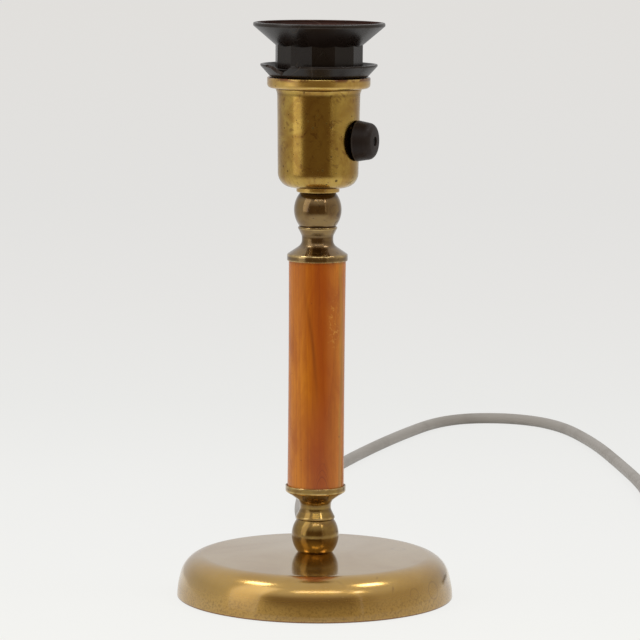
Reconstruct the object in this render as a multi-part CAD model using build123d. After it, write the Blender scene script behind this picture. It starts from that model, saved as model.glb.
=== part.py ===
from build123d import *
import os
from math import atan2, cos, hypot, pi, radians, sin, sqrt, tan

# Table lamp: spun brass foot, turned wooden column between two turned brass fittings,
# brass lamp holder with a rotary switch, two moulded shade rings and a round mains lead.
# Millimetres. +Z is up, the origin is the middle of the foot on the table,
# -Y is the front and the lead leaves at the back.

# Fits that several pieces share
running_gap = 0.06
thread_gap = 0.08
slip_gap = 0.3
seat_gap = 0.2
overrun = 2.0

# Central tube that clamps the whole stack, with its nuts
tube_radius = 5.0
tube_bore_radius = 4.0
nut_flats = 14.0
nut_height = 3.0
washer_radius = 12.0
washer_height = 1.5
tube_showing = 1.0
stack_bore_radius = tube_radius + slip_gap

# Foot
foot_radius = 70.0
foot_height = 22.7
foot_wall = 1.0
foot_rim_lift = 0.4
foot_shoulder_radius = 12.8
foot_shoulder_inset = 14.2
foot_wall_angle = 15.5
foot_dome_angle = 1.4
foot_pad_radius = 10.0

# Felt under the foot
felt_height = 1.2
felt_radius = foot_radius - foot_wall - 2 * slip_gap

# Cast weight in the foot
weight_edge_gap = 5.0
weight_rim_width = 10.0
weight_disc_height = 8.8
weight_top_gap = 0.72
weight_edge_drop = 7.0
weight_pad_height = 1.2
weight_radius = foot_radius - foot_wall - weight_edge_gap
weight_recess_radius = weight_radius - weight_rim_width

# Turned fitting, used upright under the holder and upside down on the foot
fitting_length = 34.5
fitting_rim_radius = 15.3
fitting_rim_height = 3.0
fitting_rim_round = 0.4
fitting_cup_radius = 14.75
fitting_cup_depth = 2.0
fitting_step = 0.5
fitting_cone_angle = 56.0
fitting_waist_radius = 7.9
fitting_cove_radius = 6.6
fitting_waist_end = 12.4
fitting_throat_radius = 3.0
fitting_bead_radius = 9.9
fitting_bead_start = 16.3
fitting_bead_end = 16.9
fitting_groove_radius = 9.2
fitting_groove_place = 17.3
fitting_ball_radius = 12.0
fitting_ball_place = 25.6
fitting_neck_radius = 8.7

# Wooden column
column_showing = 114.4
column_foot_radius = 14.3
column_waist_radius = 14.15
column_head_radius = 14.4
column_bore_radius = 5.5

# Collar between the upper fitting and the holder
collar_radius = 10.8
collar_height = 2.4
collar_round = 0.5

# Holder shell
shell_wall = 0.9
shell_corner_radius = 8.0
shell_low_radius = 20.15
shell_high_radius = 20.8
shell_height = 49.3
shell_flare_height = 1.9
shell_flare_round = 2.75
shell_lip_radius = 21.55
shell_lip_height = 0.4
shell_neck_radius = 20.95
shell_neck_height = 3.1

# Rotary switch: its axis is level and points right and a little to the front
switch_angle = -21.0
switch_height_in_shell = 23.9
knob_start = 20.95
bush_radius = 4.0
bush_start = 12.0
bush_end = knob_start - seat_gap
shaft_radius = 2.5
shaft_start = 4.0
shaft_end = 27.0
shaft_tap_radius = 1.25
shaft_tap_depth = 5.0
rotor_radius = 6.5
rotor_start = 4.0
rotor_end = 10.0
rotor_lobe_radius = 1.4
rotor_lobes = 4
switch_cavity_radius = 8.0
switch_cavity_start = 1.5
switch_cavity_end = 12.0
knob_length = 9.05
knob_back_radius = 10.3
knob_front_radius = 8.7
knob_edge_round = 3.5
knob_back_round = 0.5
knob_dome = 0.4
knob_web = 1.2
knob_recess_radius = 2.4
knob_screw_radius = 1.2
knob_screw_head_radius = 2.05
knob_screw_head_height = 1.4

# Contact block inside the holder
block_radius = 18.4
block_flange_radius = 19.2
block_flange_height = 4.0
block_height = 40.5
block_foot_radius = 11.5
block_shoulder_height = 8.0
nut_room_radius = 8.6
nut_room_height = 7.5
wire_room_radius = 15.5
wire_room_height = 14.0
block_boss_radius = 9.0
block_boss_height = 1.6

# Terminals on the contact block
terminal_angles = (155.0, 65.0)
terminal_start = 11.7
terminal_end = 17.9
terminal_width = 6.0
terminal_height = 8.0
terminal_low = 26.5
terminal_screw_radius = 1.5
terminal_head_radius = 2.2
terminal_head_height = 1.0
wire_hole_radius = 1.7
wire_place = 14.0

# Screw shell and centre contact for the lamp cap
cap_bore_radius = 13.25
cap_shell_wall = 0.4
cap_shell_height = 26.0
cap_shell_lip = 1.4
cap_shell_step_radius = 11.9
cap_shell_step_height = 3.6
contact_width = 5.0
contact_length = 12.0
contact_thickness = 0.5
contact_rise = 1.6

# Threaded barrel that the shade rings screw on
barrel_radius = 19.9
barrel_inner_radius = 18.0
barrel_skirt_radius = 19.5
barrel_flange_radius = 20.9
barrel_flange_height = 1.4
barrel_height = 29.2
barrel_lip_radius = 14.6
barrel_lip_height = 1.5
barrel_edge_round = 0.5

# Brass top ring that holds the barrel down on the shell
top_ring_radius = 25.85
top_ring_height = 5.5
top_ring_round = 2.0
top_ring_edge_round = 0.6
top_ring_web = 1.4

# Lower shade ring, a dish
ring_gap = 0.3
ring_bore_radius = barrel_radius + thread_gap
dish_foot_radius = 24.5
dish_rim_radius = 29.3
dish_height = 6.2
dish_wall = 1.4
dish_rim_height = 0.9
dish_floor_height = 1.5
dish_hub_radius = 22.6
dish_hub_height = 4.1

# Upper shade ring, a funnel on a twelve-sided neck
funnel_neck_sides = 12
funnel_neck_radius = 22.1
funnel_neck_angle = 20.8
funnel_neck_height = 11.5
funnel_height = 22.5
funnel_angle = 49.5
funnel_wall = 1.7
funnel_lip_radius = 33.0
funnel_lip_round = 1.2
funnel_lip_wall = 2.3

# Mains lead
lead_radius = 3.5
lead_length = 1800.0
lead_lift = 7.0
lead_bore_gap = 0.05
sheath_end = 26.0
core_radius = 1.0
core_spread = 1.35
core_drop = 1.5
core_bend_radius = 2.4
core_crimp_bend_radius = 1.5
wire_bend_radius = 3.0
bend_share = 0.45

# Bush where the lead leaves the foot, with its tapered relief
relief_length = 24.0
relief_root_radius = 5.9
relief_tip_radius = 4.5
relief_collar_radius = 6.4
relief_collar_width = 2.0
relief_collar_round = 0.5
relief_body_radius = 4.9
relief_flange_radius = 5.6
relief_flange_width = 2.0
relief_flange_depth = 5.4

# Clamp for the lead in the foot
sheath_showing = 2.0
clamp_depth = 8.0
clamp_place = sheath_end + sheath_showing + clamp_depth / 2
clamp_width = 22.0
clamp_floor = 1.4
clamp_screw_place = 7.4
clamp_screw_radius = 1.5
clamp_head_radius = 2.8
clamp_head_height = 1.5
clamp_screw_bite = 5.0

# Earth tag and its screw, on the weight
tag_place = (-22.0, 6.0)
tag_radius = 4.0
tag_thickness = 0.8
tag_barrel_radius = 1.8
tag_barrel_length = 6.0
tag_screw_radius = 2.0
tag_head_radius = 3.6
tag_head_height = 2.0
tag_screw_bite = 6.0

# Coil of the lead, wound round and back on itself in two layers
coil_half_turns = 7
coil_gap = 0.5
coil_pitch = 2 * lead_radius + coil_gap
coil_lift = 1.0
coil_rise_radius = 80.0
coil_samples = 40
tie_width = 10.0
tie_thickness = 0.7
tie_gap = 0.2
tie_bow = 1.0
tie_round = 2.5

# Moulded plug with two pins and side earth strips
plug_radius = 18.5
plug_relief_length = 24.0
plug_relief_radius = 4.4
plug_relief_root_radius = 6.4
plug_grip_radius = 9.5
plug_grip_end_radius = 12.5
plug_grip_length = 18.0
plug_shoulder_length = 5.0
plug_disc_length = 13.0
plug_disc_round = 1.5
pin_radius = 2.4
pin_length = 19.0
pin_spacing = 19.0
pin_tip_round = 1.2
earth_slot_width = 7.0
earth_slot_depth = 2.6
earth_strip_thickness = 0.8
earth_strip_length = 11.0

# Heights of the stack, from the table up
column_start = foot_height + fitting_length
column_end = column_start + column_showing
collar_start = column_end + fitting_length
shell_start = collar_start + collar_height
shell_end = shell_start + shell_height
neck_end = shell_end + shell_neck_height
block_start = shell_start + shell_wall
block_end = block_start + block_height
switch_height = shell_start + switch_height_in_shell
flange_start = neck_end
top_ring_end = flange_start + barrel_flange_height + top_ring_web
top_ring_start = top_ring_end - top_ring_height
barrel_end = block_end + barrel_height
dish_start = top_ring_end + ring_gap
funnel_start = dish_start + dish_hub_height + ring_gap
weight_ceiling = foot_height - foot_wall - weight_pad_height - weight_disc_height

# Free stretch of the lead on the table: the route's corners, in order.
# The last point is worked out below, straight on into the coil.
route_start = (0.0, foot_radius + relief_length, lead_lift)
route_points = [
    route_start,
    (0.0, 119.0, lead_lift),
    (-2.6, 152.0, 4.6),
    (-8.2, 196.5, lead_radius),
    (-9.0, 247.7, lead_radius),
    (-4.6, 314.4, lead_radius),
    (20.5, 404.0, lead_radius),
    (53.1, 497.0, lead_radius),
    (85.4, 569.0, lead_radius),
    (127.2, 579.3, lead_radius),
    (160.3, 550.7, lead_radius),
    (178.5, 474.0, lead_radius),
    (188.1, 392.4, lead_radius),
    (195.0, 312.2, lead_radius + coil_lift),
    (195.0, 249.0, lead_radius + coil_lift),
]


def turned(outline, plane=Plane.XZ):
    # outline: (distance from the axis, place along it, corner radius) for each corner
    corners = [(across, along) for across, along, _ in outline]
    rounds = [corner for _, _, corner in outline]
    section = make_face(FilletPolyline(*corners, radius=rounds, close=True))
    return revolve(plane * section, Axis(plane.origin, plane.y_dir))


def ring(outer, inner, low, high, edge_round=0.0):
    return turned(
        [
            (inner, low, 0.0),
            (outer, low, edge_round),
            (outer, high, edge_round),
            (inner, high, 0.0),
        ]
    )


def rod(radius, start, direction, length):
    return extrude(Plane(origin=start, z_dir=direction) * Circle(radius), amount=length)


def block(width, depth, height, low_centre, angle=0.0):
    # a box that stands on low_centre, turned about the vertical
    place = Pos(*low_centre) * Rot(0, 0, angle)
    return place * Box(width, depth, height, align=(Align.CENTER, Align.CENTER, Align.MIN))


def hexagon(flats, bore, low, height):
    section = RegularPolygon(flats / 2, 6, major_radius=False) - Circle(bore)
    return Pos(0, 0, low) * extrude(section, amount=height)


def tube_along(path, radius):
    start = Plane(origin=path @ 0, z_dir=path % 0)
    return sweep(start * Circle(radius), path=path)


def bend_radii(points):
    # as large as the two runs at each corner allow
    radii = []
    for before, here, after in zip(points, points[1:], points[2:]):
        run_in = Vector(here) - Vector(before)
        run_out = Vector(after) - Vector(here)
        half_turn = radians(run_in.get_angle(run_out) / 2)
        radii.append(bend_share * min(run_in.length, run_out.length) / tan(half_turn))
    return radii


def foot_skin(inset, rim_height):
    # dome, shoulder and wall of the foot, moved inwards by inset
    dome = radians(foot_dome_angle)
    lean = radians(foot_wall_angle)
    centre_across = foot_radius - foot_shoulder_inset
    reach = centre_across + foot_shoulder_radius * sin(dome) - foot_pad_radius
    centre_up = foot_height - reach * tan(dome) - foot_shoulder_radius * cos(dome)
    bend = foot_shoulder_radius - inset

    def on_shoulder(angle):
        return (centre_across + bend * cos(angle), centre_up + bend * sin(angle))

    crest = on_shoulder(pi / 2 - dome)
    middle = on_shoulder((pi / 2 - dome + lean) / 2)
    brow = on_shoulder(lean)
    rim = (foot_radius - inset, rim_height)
    pad = (foot_pad_radius, foot_height - inset)
    edges = [
        Line(pad, crest),
        ThreePointArc(crest, middle, brow),
        TangentArc(brow, rim, tangent=(sin(lean), -cos(lean))),
    ]
    return edges, pad, rim


def make_base_shell():
    outer, outer_pad, outer_rim = foot_skin(0.0, foot_rim_lift)
    inner, inner_pad, inner_rim = foot_skin(foot_wall, foot_rim_lift)
    hole_top = (stack_bore_radius, outer_pad[1])
    hole_low = (stack_bore_radius, inner_pad[1])
    closing = [
        Line(outer_pad, hole_top),
        Line(hole_top, hole_low),
        Line(hole_low, inner_pad),
        Line(outer_rim, inner_rim),
    ]
    shell = revolve(Plane.XZ * make_face(outer + inner + closing), Axis.Z)
    lead_hole = rod(
        relief_body_radius + running_gap,
        (0, weight_radius, lead_lift),
        (0, 1, 0),
        foot_radius - weight_radius + overrun,
    )
    return shell - lead_hole


def make_base_weight():
    top = foot_height - foot_wall
    disc_top = top - weight_pad_height
    brow_radius = weight_radius - 2 * weight_edge_drop
    brow_drop = (brow_radius - foot_pad_radius) * tan(radians(foot_dome_angle))
    outline = [
        (stack_bore_radius, top, 0.0),
        (foot_pad_radius, top, 0.0),
        (foot_pad_radius, disc_top, 0.0),
        (brow_radius, top - brow_drop - weight_top_gap, 0.0),
        (weight_radius, disc_top - weight_edge_drop, weight_edge_drop / 2),
        (weight_radius, felt_height, 0.0),
        (weight_recess_radius, felt_height, 0.0),
        (weight_recess_radius, weight_ceiling, weight_edge_drop / 2),
        (stack_bore_radius, weight_ceiling, 0.0),
    ]
    weight = turned(outline)
    channel_width = 2 * (relief_flange_radius + slip_gap)
    channel = block(
        channel_width,
        weight_radius,
        weight_ceiling,
        (0, weight_recess_radius - overrun + weight_radius / 2, 0),
    )
    screws = [
        rod(
            clamp_screw_radius,
            (side * clamp_screw_place, clamp_place, weight_ceiling),
            (0, 0, 1),
            clamp_screw_bite,
        )
        for side in (-1, 1)
    ]
    tag_hole = rod(tag_screw_radius, (*tag_place, weight_ceiling), (0, 0, 1), tag_screw_bite)
    return weight - channel - screws - tag_hole


def make_fitting():
    # from the rim that holds the column, at zero, to the neck at the far end
    lean = radians(fitting_cone_angle)
    cone_start = fitting_rim_height + fitting_step
    cone_across = fitting_rim_radius - fitting_step
    cone_end = cone_start + (cone_across - fitting_waist_radius) / tan(lean)
    side = FilletPolyline(
        (fitting_rim_radius, 0.0),
        (fitting_rim_radius, fitting_rim_height),
        (cone_across, cone_start),
        (fitting_waist_radius, cone_end),
        (fitting_waist_radius, fitting_waist_end),
        (fitting_bead_radius, fitting_bead_start),
        (fitting_bead_radius, fitting_bead_end),
        (fitting_groove_radius, fitting_groove_place),
        radius=[fitting_rim_round, 0.0, fitting_cove_radius, fitting_throat_radius, 0.0, 0.0],
    )
    groove = (fitting_groove_radius, fitting_groove_place)
    neck = (fitting_neck_radius, fitting_length)
    ball = ThreePointArc(groove, (fitting_ball_radius, fitting_ball_place), neck)
    inside = Polyline(
        neck,
        (stack_bore_radius, fitting_length),
        (stack_bore_radius, fitting_cup_depth),
        (fitting_cup_radius, fitting_cup_depth),
        (fitting_cup_radius, 0.0),
        (fitting_rim_radius, 0.0),
    )
    section = make_face(side.edges() + ball.edges() + inside.edges())
    return revolve(Plane.XZ * section, Axis.Z)


def make_column():
    low = column_start - fitting_cup_depth
    high = column_end + fitting_cup_depth
    foot = (column_foot_radius, low)
    head = (column_head_radius, high)
    side = ThreePointArc(foot, (column_waist_radius, (low + high) / 2), head)
    inside = Polyline(
        head,
        (column_bore_radius, high),
        (column_bore_radius, low),
        foot,
    )
    return revolve(Plane.XZ * make_face(side.edges() + inside.edges()), Axis.Z)


def switch_plane():
    # across is up, along is out through the knob
    turn = radians(switch_angle)
    return Plane(
        origin=(0, 0, switch_height),
        x_dir=(0, 0, 1),
        z_dir=(-sin(turn), cos(turn), 0),
    )


def switch_rod(radius, start, end):
    turn = radians(switch_angle)
    along = Vector(cos(turn), sin(turn), 0)
    return rod(radius, along * start + Vector(0, 0, switch_height), along, end - start)


def make_holder_shell():
    wall = shell_wall
    lip_start = shell_end - shell_lip_height
    flare_start = lip_start - shell_flare_height
    outline = [
        (stack_bore_radius, shell_start, 0.0),
        (shell_low_radius, shell_start, shell_corner_radius),
        (shell_high_radius, flare_start, shell_flare_round),
        (shell_lip_radius, lip_start, 0.0),
        (shell_lip_radius, shell_end, 0.0),
        (shell_neck_radius, shell_end, 0.0),
        (shell_neck_radius, neck_end, 0.0),
        (shell_neck_radius - wall, neck_end, 0.0),
        (shell_neck_radius - wall, shell_end, 0.0),
        (shell_high_radius - wall, flare_start, 0.0),
        (shell_low_radius - wall, shell_start + wall, shell_corner_radius - wall),
        (stack_bore_radius, shell_start + wall, 0.0),
    ]
    hole = switch_rod(bush_radius + running_gap, block_radius - overrun, shell_high_radius + overrun)
    return turned(outline) - hole


def terminal_place(angle, distance, height):
    turn = radians(angle)
    return (distance * cos(turn), distance * sin(turn), block_start + height)


def make_contact_block():
    low = block_start
    high = block_end
    outline = [
        (nut_room_radius, low, 0.0),
        (block_foot_radius, low, 0.0),
        (block_radius, low + block_shoulder_height, 0.0),
        (block_radius, high - block_flange_height, 0.0),
        (block_flange_radius, high - block_flange_height, 0.0),
        (block_flange_radius, high, 0.0),
        (block_boss_radius, high, 0.0),
        (block_boss_radius, high + block_boss_height, 0.0),
        (0.0, high + block_boss_height, 0.0),
        (0.0, low + wire_room_height, 0.0),
        (wire_room_radius, low + wire_room_height, 0.0),
        (wire_room_radius, low + block_shoulder_height, 0.0),
        (nut_room_radius, low + nut_room_height, 0.0),
    ]
    body = turned(outline)
    body -= switch_rod(switch_cavity_radius, switch_cavity_start, switch_cavity_end)
    body -= switch_rod(bush_radius + running_gap, switch_cavity_end - overrun, block_radius + overrun)
    for angle in terminal_angles:
        middle = (terminal_start + block_radius + overrun) / 2
        pocket = block(
            block_radius + overrun - terminal_start,
            terminal_width,
            terminal_height,
            terminal_place(angle, middle, terminal_low),
            angle,
        )
        wire_hole = rod(
            wire_hole_radius,
            terminal_place(angle, wire_place, wire_room_height - overrun),
            (0, 0, 1),
            terminal_low - wire_room_height + 2 * overrun,
        )
        body = body - pocket - wire_hole
    return body


def make_terminals():
    blocks = []
    screws = []
    for angle in terminal_angles:
        turn = radians(angle)
        outwards = (cos(turn), sin(turn), 0)
        middle = (terminal_start + terminal_end) / 2
        brass = block(
            terminal_end - terminal_start,
            terminal_width,
            terminal_height,
            terminal_place(angle, middle, terminal_low),
            angle,
        )
        screw_height = terminal_low + terminal_height / 2
        tapped = rod(
            terminal_screw_radius + running_gap,
            terminal_place(angle, wire_place, screw_height),
            outwards,
            terminal_end,
        )
        blocks.append(brass - tapped)
        shank = rod(
            terminal_screw_radius,
            terminal_place(angle, wire_place + wire_hole_radius, screw_height),
            outwards,
            terminal_end - wire_place - wire_hole_radius,
        )
        head = rod(
            terminal_head_radius,
            terminal_place(angle, terminal_end, screw_height),
            outwards,
            terminal_head_height,
        )
        screws.append(shank + head)
    return Compound(blocks), Compound(screws)


def make_cap_shell():
    # a narrow cup that stands on the block and widens to the bore for the cap
    wall = cap_shell_wall
    outer = cap_bore_radius + wall
    low = block_end
    top = low + cap_shell_height
    step = low + cap_shell_step_height
    return turned(
        [
            (cap_shell_step_radius - cap_shell_lip, low, 0.0),
            (cap_shell_step_radius, low, 0.0),
            (cap_shell_step_radius, step, 0.0),
            (outer, step, 0.0),
            (outer, top, 0.0),
            (cap_bore_radius, top, 0.0),
            (cap_bore_radius, step + wall, 0.0),
            (cap_shell_step_radius - wall, step + wall, 0.0),
            (cap_shell_step_radius - wall, low + wall, 0.0),
            (cap_shell_step_radius - cap_shell_lip, low + wall, 0.0),
        ]
    )


def make_centre_contact():
    # a spring tongue that rises towards its middle
    low = block_end + block_boss_height
    half = contact_length / 2
    lower = [(-half, low), (half, low)]
    upper = [(half, low + contact_thickness), (-half, low + contact_thickness)]
    crown = low + contact_rise
    tongue = make_face(
        [
            Line(lower[0], lower[1]),
            Line(lower[1], upper[0]),
            ThreePointArc(upper[0], (0.0, crown), upper[1]),
            Line(upper[1], lower[0]),
        ]
    )
    strip = extrude(Plane.XZ * tongue, amount=contact_width / 2, both=True)
    return strip


def make_barrel():
    low = block_end
    outline = [
        (barrel_inner_radius, low, 0.0),
        (barrel_skirt_radius, low, 0.0),
        (barrel_skirt_radius, flange_start, 0.0),
        (barrel_flange_radius, flange_start, 0.0),
        (barrel_flange_radius, flange_start + barrel_flange_height, 0.0),
        (barrel_radius, flange_start + barrel_flange_height, 0.0),
        (barrel_radius, barrel_end, barrel_edge_round),
        (barrel_lip_radius, barrel_end, barrel_edge_round),
        (barrel_lip_radius, barrel_end - barrel_lip_height, 0.0),
        (barrel_inner_radius, barrel_end - barrel_lip_height, 0.0),
    ]
    return turned(outline)


def make_top_ring():
    bore = shell_neck_radius + seat_gap
    web_low = top_ring_end - top_ring_web
    outline = [
        (bore, top_ring_start, 0.0),
        (top_ring_radius, top_ring_start, top_ring_round),
        (top_ring_radius, top_ring_end, top_ring_edge_round),
        (barrel_radius + seat_gap, top_ring_end, 0.0),
        (barrel_radius + seat_gap, web_low, 0.0),
        (bore, web_low, 0.0),
    ]
    return turned(outline)


def make_lower_ring():
    low = dish_start
    rim = low + dish_height
    outline = [
        (ring_bore_radius, low, 0.0),
        (dish_foot_radius, low, dish_wall / 2),
        (dish_rim_radius, rim - dish_rim_height, dish_wall / 4),
        (dish_rim_radius, rim, dish_wall / 4),
        (dish_rim_radius - dish_wall, rim, dish_wall / 4),
        (dish_foot_radius - dish_wall, low + dish_floor_height, 0.0),
        (dish_hub_radius, low + dish_floor_height, 0.0),
        (dish_hub_radius, low + dish_hub_height, 0.0),
        (ring_bore_radius, low + dish_hub_height, 0.0),
    ]
    return turned(outline)


def make_upper_ring():
    low = funnel_start
    top = low + funnel_height
    lean = radians(funnel_angle)
    wall_up = funnel_wall / sin(lean)

    def cone_up(across):
        return low + funnel_neck_height + (across - funnel_neck_radius) / tan(lean)

    inner_lip_radius = funnel_lip_radius - funnel_lip_wall
    bore_low = cone_up(ring_bore_radius)
    outline = [
        (ring_bore_radius, bore_low, 0.0),
        (funnel_lip_radius, cone_up(funnel_lip_radius), funnel_lip_round / 2),
        (funnel_lip_radius, top, funnel_lip_round),
        (inner_lip_radius, top, funnel_lip_round / 3),
        (inner_lip_radius, cone_up(inner_lip_radius) + wall_up, 0.0),
        (ring_bore_radius, bore_low + wall_up, 0.0),
    ]
    # the neck's corners end inside the cone's wall
    plan = Rot(0, 0, funnel_neck_angle) * RegularPolygon(funnel_neck_radius, funnel_neck_sides)
    neck_end_up = (cone_up(funnel_neck_radius) + bore_low + wall_up) / 2
    neck = extrude(plan - Circle(ring_bore_radius), amount=neck_end_up - low)
    return turned(outline) + Pos(0, 0, low) * neck


def make_switch_shaft():
    shaft = switch_rod(shaft_radius, shaft_start, shaft_end)
    tap = switch_rod(shaft_tap_radius, shaft_end - shaft_tap_depth, shaft_end + overrun)
    return shaft - tap


def make_switch_rotor():
    # a drum with four detent flutes along its edge
    plane = switch_plane()
    section = Circle(rotor_radius) - Circle(shaft_radius + running_gap / 2)
    for flute in PolarLocations(rotor_radius, rotor_lobes):
        section -= flute * Circle(rotor_lobe_radius)
    along = plane.y_dir
    seat = Plane(origin=plane.origin + along * rotor_start, x_dir=(0, 0, 1), z_dir=along)
    return extrude(seat * section, amount=rotor_end - rotor_start)


def make_knob():
    web_start = shaft_end
    web_end = web_start + knob_web
    front = knob_start + knob_length
    outline = [
        (shaft_radius + running_gap / 2, knob_start, 0.0),
        (knob_back_radius, knob_start, knob_back_round),
        (knob_front_radius, front, knob_edge_round),
        (knob_recess_radius, front + knob_dome, 0.0),
        (knob_recess_radius, web_end, 0.0),
        (knob_screw_radius + running_gap, web_end, 0.0),
        (knob_screw_radius + running_gap, web_start, 0.0),
        (shaft_radius + running_gap / 2, web_start, 0.0),
    ]
    return turned(outline, switch_plane())


def make_knob_screw():
    web_end = shaft_end + knob_web
    shank = switch_rod(knob_screw_radius, shaft_end - shaft_tap_depth / 2, web_end)
    head = switch_rod(knob_screw_head_radius, web_end, web_end + knob_screw_head_height)
    slot_width = knob_screw_radius / 2
    slot = switch_plane() * Pos(0, web_end + knob_screw_head_height, 0) * Box(
        2 * knob_recess_radius, knob_screw_head_height, slot_width
    )
    return shank + head - slot


def lead_plane(distance):
    # across is up, along is backwards out of the foot
    return Plane(origin=(0, distance, lead_lift), x_dir=(0, 0, 1), z_dir=(-1, 0, 0))


def make_lead_bush():
    bore = lead_radius + lead_bore_gap
    outside = foot_radius
    inside = outside - relief_flange_depth
    flange = inside + relief_flange_width
    tip = outside + relief_length
    outline = [
        (bore, inside, 0.0),
        (relief_flange_radius, inside, 0.0),
        (relief_flange_radius, flange, 0.0),
        (relief_body_radius, flange, 0.0),
        (relief_body_radius, outside, 0.0),
        (relief_collar_radius, outside, 0.0),
        (relief_collar_radius, outside + relief_collar_width, relief_collar_round),
        (relief_root_radius, outside + relief_collar_width, 0.0),
        (relief_tip_radius, tip, 0.0),
        (bore, tip, 0.0),
    ]
    return turned(outline, lead_plane(0.0))


def make_lead_inner():
    return rod(lead_radius, (0, sheath_end, lead_lift), (0, 1, 0), foot_radius + relief_length - sheath_end)


def make_core(side, angle):
    # from the end of the sheath under the nut, up the tube and out to its terminal
    under = felt_height + core_radius + 2 * slip_gap
    roof = block_start + nut_room_height + core_radius + wire_room_height / 4
    turn = radians(angle)
    out = (wire_place * cos(turn), wire_place * sin(turn))
    points = [
        (side * core_spread, sheath_end, lead_lift + core_radius),
        (side * core_spread, sheath_end - washer_radius / 2, lead_lift + core_radius),
        (side * core_spread, washer_radius, under),
        (side * core_spread, 0.0, under),
        (side * core_spread, 0.0, roof),
        (out[0], out[1], roof),
        (out[0], out[1], block_start + terminal_low),
    ]
    bends = [wire_bend_radius, wire_bend_radius, core_bend_radius, core_bend_radius, core_bend_radius]
    return tube_along(FilletPolyline(*points, radius=bends), core_radius)


def tag_barrel_start():
    return tag_place[1] + tag_radius


def make_earth_core():
    height = weight_ceiling - tag_barrel_radius
    barrel_end_y = tag_barrel_start() + tag_barrel_length
    points = [
        (0.0, sheath_end, lead_lift - core_drop),
        (0.0, sheath_end - tag_barrel_length / 3, lead_lift - core_drop),
        (tag_place[0] / 2, sheath_end - tag_barrel_length / 2, lead_lift - core_drop / 2),
        (tag_place[0], sheath_end - tag_barrel_length / 3, height),
        (tag_place[0], barrel_end_y, height),
    ]
    bends = [core_crimp_bend_radius, wire_bend_radius, core_crimp_bend_radius]
    return tube_along(FilletPolyline(*points, radius=bends), core_radius)


def make_earth_tag():
    under = weight_ceiling - tag_thickness
    plate = rod(tag_radius, (*tag_place, under), (0, 0, 1), tag_thickness)
    neck_length = tag_radius + tag_barrel_length / 2
    neck_place = (tag_place[0], tag_place[1] + neck_length / 2, under)
    neck = block(2 * tag_barrel_radius, neck_length, tag_thickness, neck_place)
    barrel = rod(
        tag_barrel_radius,
        (tag_place[0], tag_barrel_start(), weight_ceiling - tag_barrel_radius),
        (0, 1, 0),
        tag_barrel_length,
    )
    hole = rod(tag_screw_radius + running_gap, (*tag_place, under - overrun), (0, 0, 1), 2 * overrun)
    return plate + neck + barrel - hole


def make_earth_screw():
    under = weight_ceiling - tag_thickness
    head = rod(tag_head_radius, (*tag_place, under - tag_head_height), (0, 0, 1), tag_head_height)
    shank = rod(tag_screw_radius, (*tag_place, under), (0, 0, 1), tag_thickness + tag_screw_bite - slip_gap)
    return head + shank


def make_clamp():
    low = lead_lift - lead_radius - clamp_floor
    saddle = block(clamp_width, clamp_depth, weight_ceiling - low, (0, clamp_place, low))
    opening = block(
        2 * (lead_radius + running_gap),
        clamp_depth + overrun,
        weight_ceiling,
        (0, clamp_place, lead_lift - running_gap),
    )
    trough = rod(
        lead_radius + running_gap,
        (0, clamp_place - clamp_depth, lead_lift - running_gap),
        (0, 1, 0),
        2 * clamp_depth,
    )
    holes = [
        rod(
            clamp_screw_radius + running_gap,
            (side * clamp_screw_place, clamp_place, low - overrun),
            (0, 0, 1),
            weight_ceiling + overrun,
        )
        for side in (-1, 1)
    ]
    sinks = [
        rod(
            clamp_head_radius + running_gap,
            (side * clamp_screw_place, clamp_place, low),
            (0, 0, 1),
            clamp_head_height,
        )
        for side in (-1, 1)
    ]
    return saddle - opening - trough - holes - sinks


def make_clamp_screws():
    low = lead_lift - lead_radius - clamp_floor
    screws = []
    for side in (-1, 1):
        place = side * clamp_screw_place
        head = rod(clamp_head_radius, (place, clamp_place, low), (0, 0, 1), clamp_head_height)
        reach = weight_ceiling + clamp_screw_bite - slip_gap - low
        shank = rod(clamp_screw_radius, (place, clamp_place, low), (0, 0, 1), reach)
        screws.append(head + shank)
    return Compound(screws)


def make_lead_free():
    radii = bend_radii(route_points)
    path = FilletPolyline(*route_points, radius=radii)
    print("bend radii of the free lead:", [round(radius, 1) for radius in radii])
    print("free lead length:", round(path.length, 1))
    return tube_along(path, lead_radius), path.length


def rise_edges(start, rise):
    # two equal arcs that lift the lead to the plug and leave it level again
    turn = 2 * atan2(sqrt(rise), sqrt(4 * coil_rise_radius - rise))
    half = coil_rise_radius * sin(turn)

    def first(angle):
        along = coil_rise_radius * sin(angle)
        up = coil_rise_radius * (1 - cos(angle))
        return (start[0], start[1] + along, start[2] + up)

    def second(angle):
        along = 2 * half - coil_rise_radius * sin(angle)
        up = rise - coil_rise_radius * (1 - cos(angle))
        return (start[0], start[1] + along, start[2] + up)

    edges = [
        ThreePointArc(first(0.0), first(turn / 2), first(turn)),
        ThreePointArc(second(turn), second(turn / 2), second(0.0)),
    ]
    return edges, second(0.0)


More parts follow.
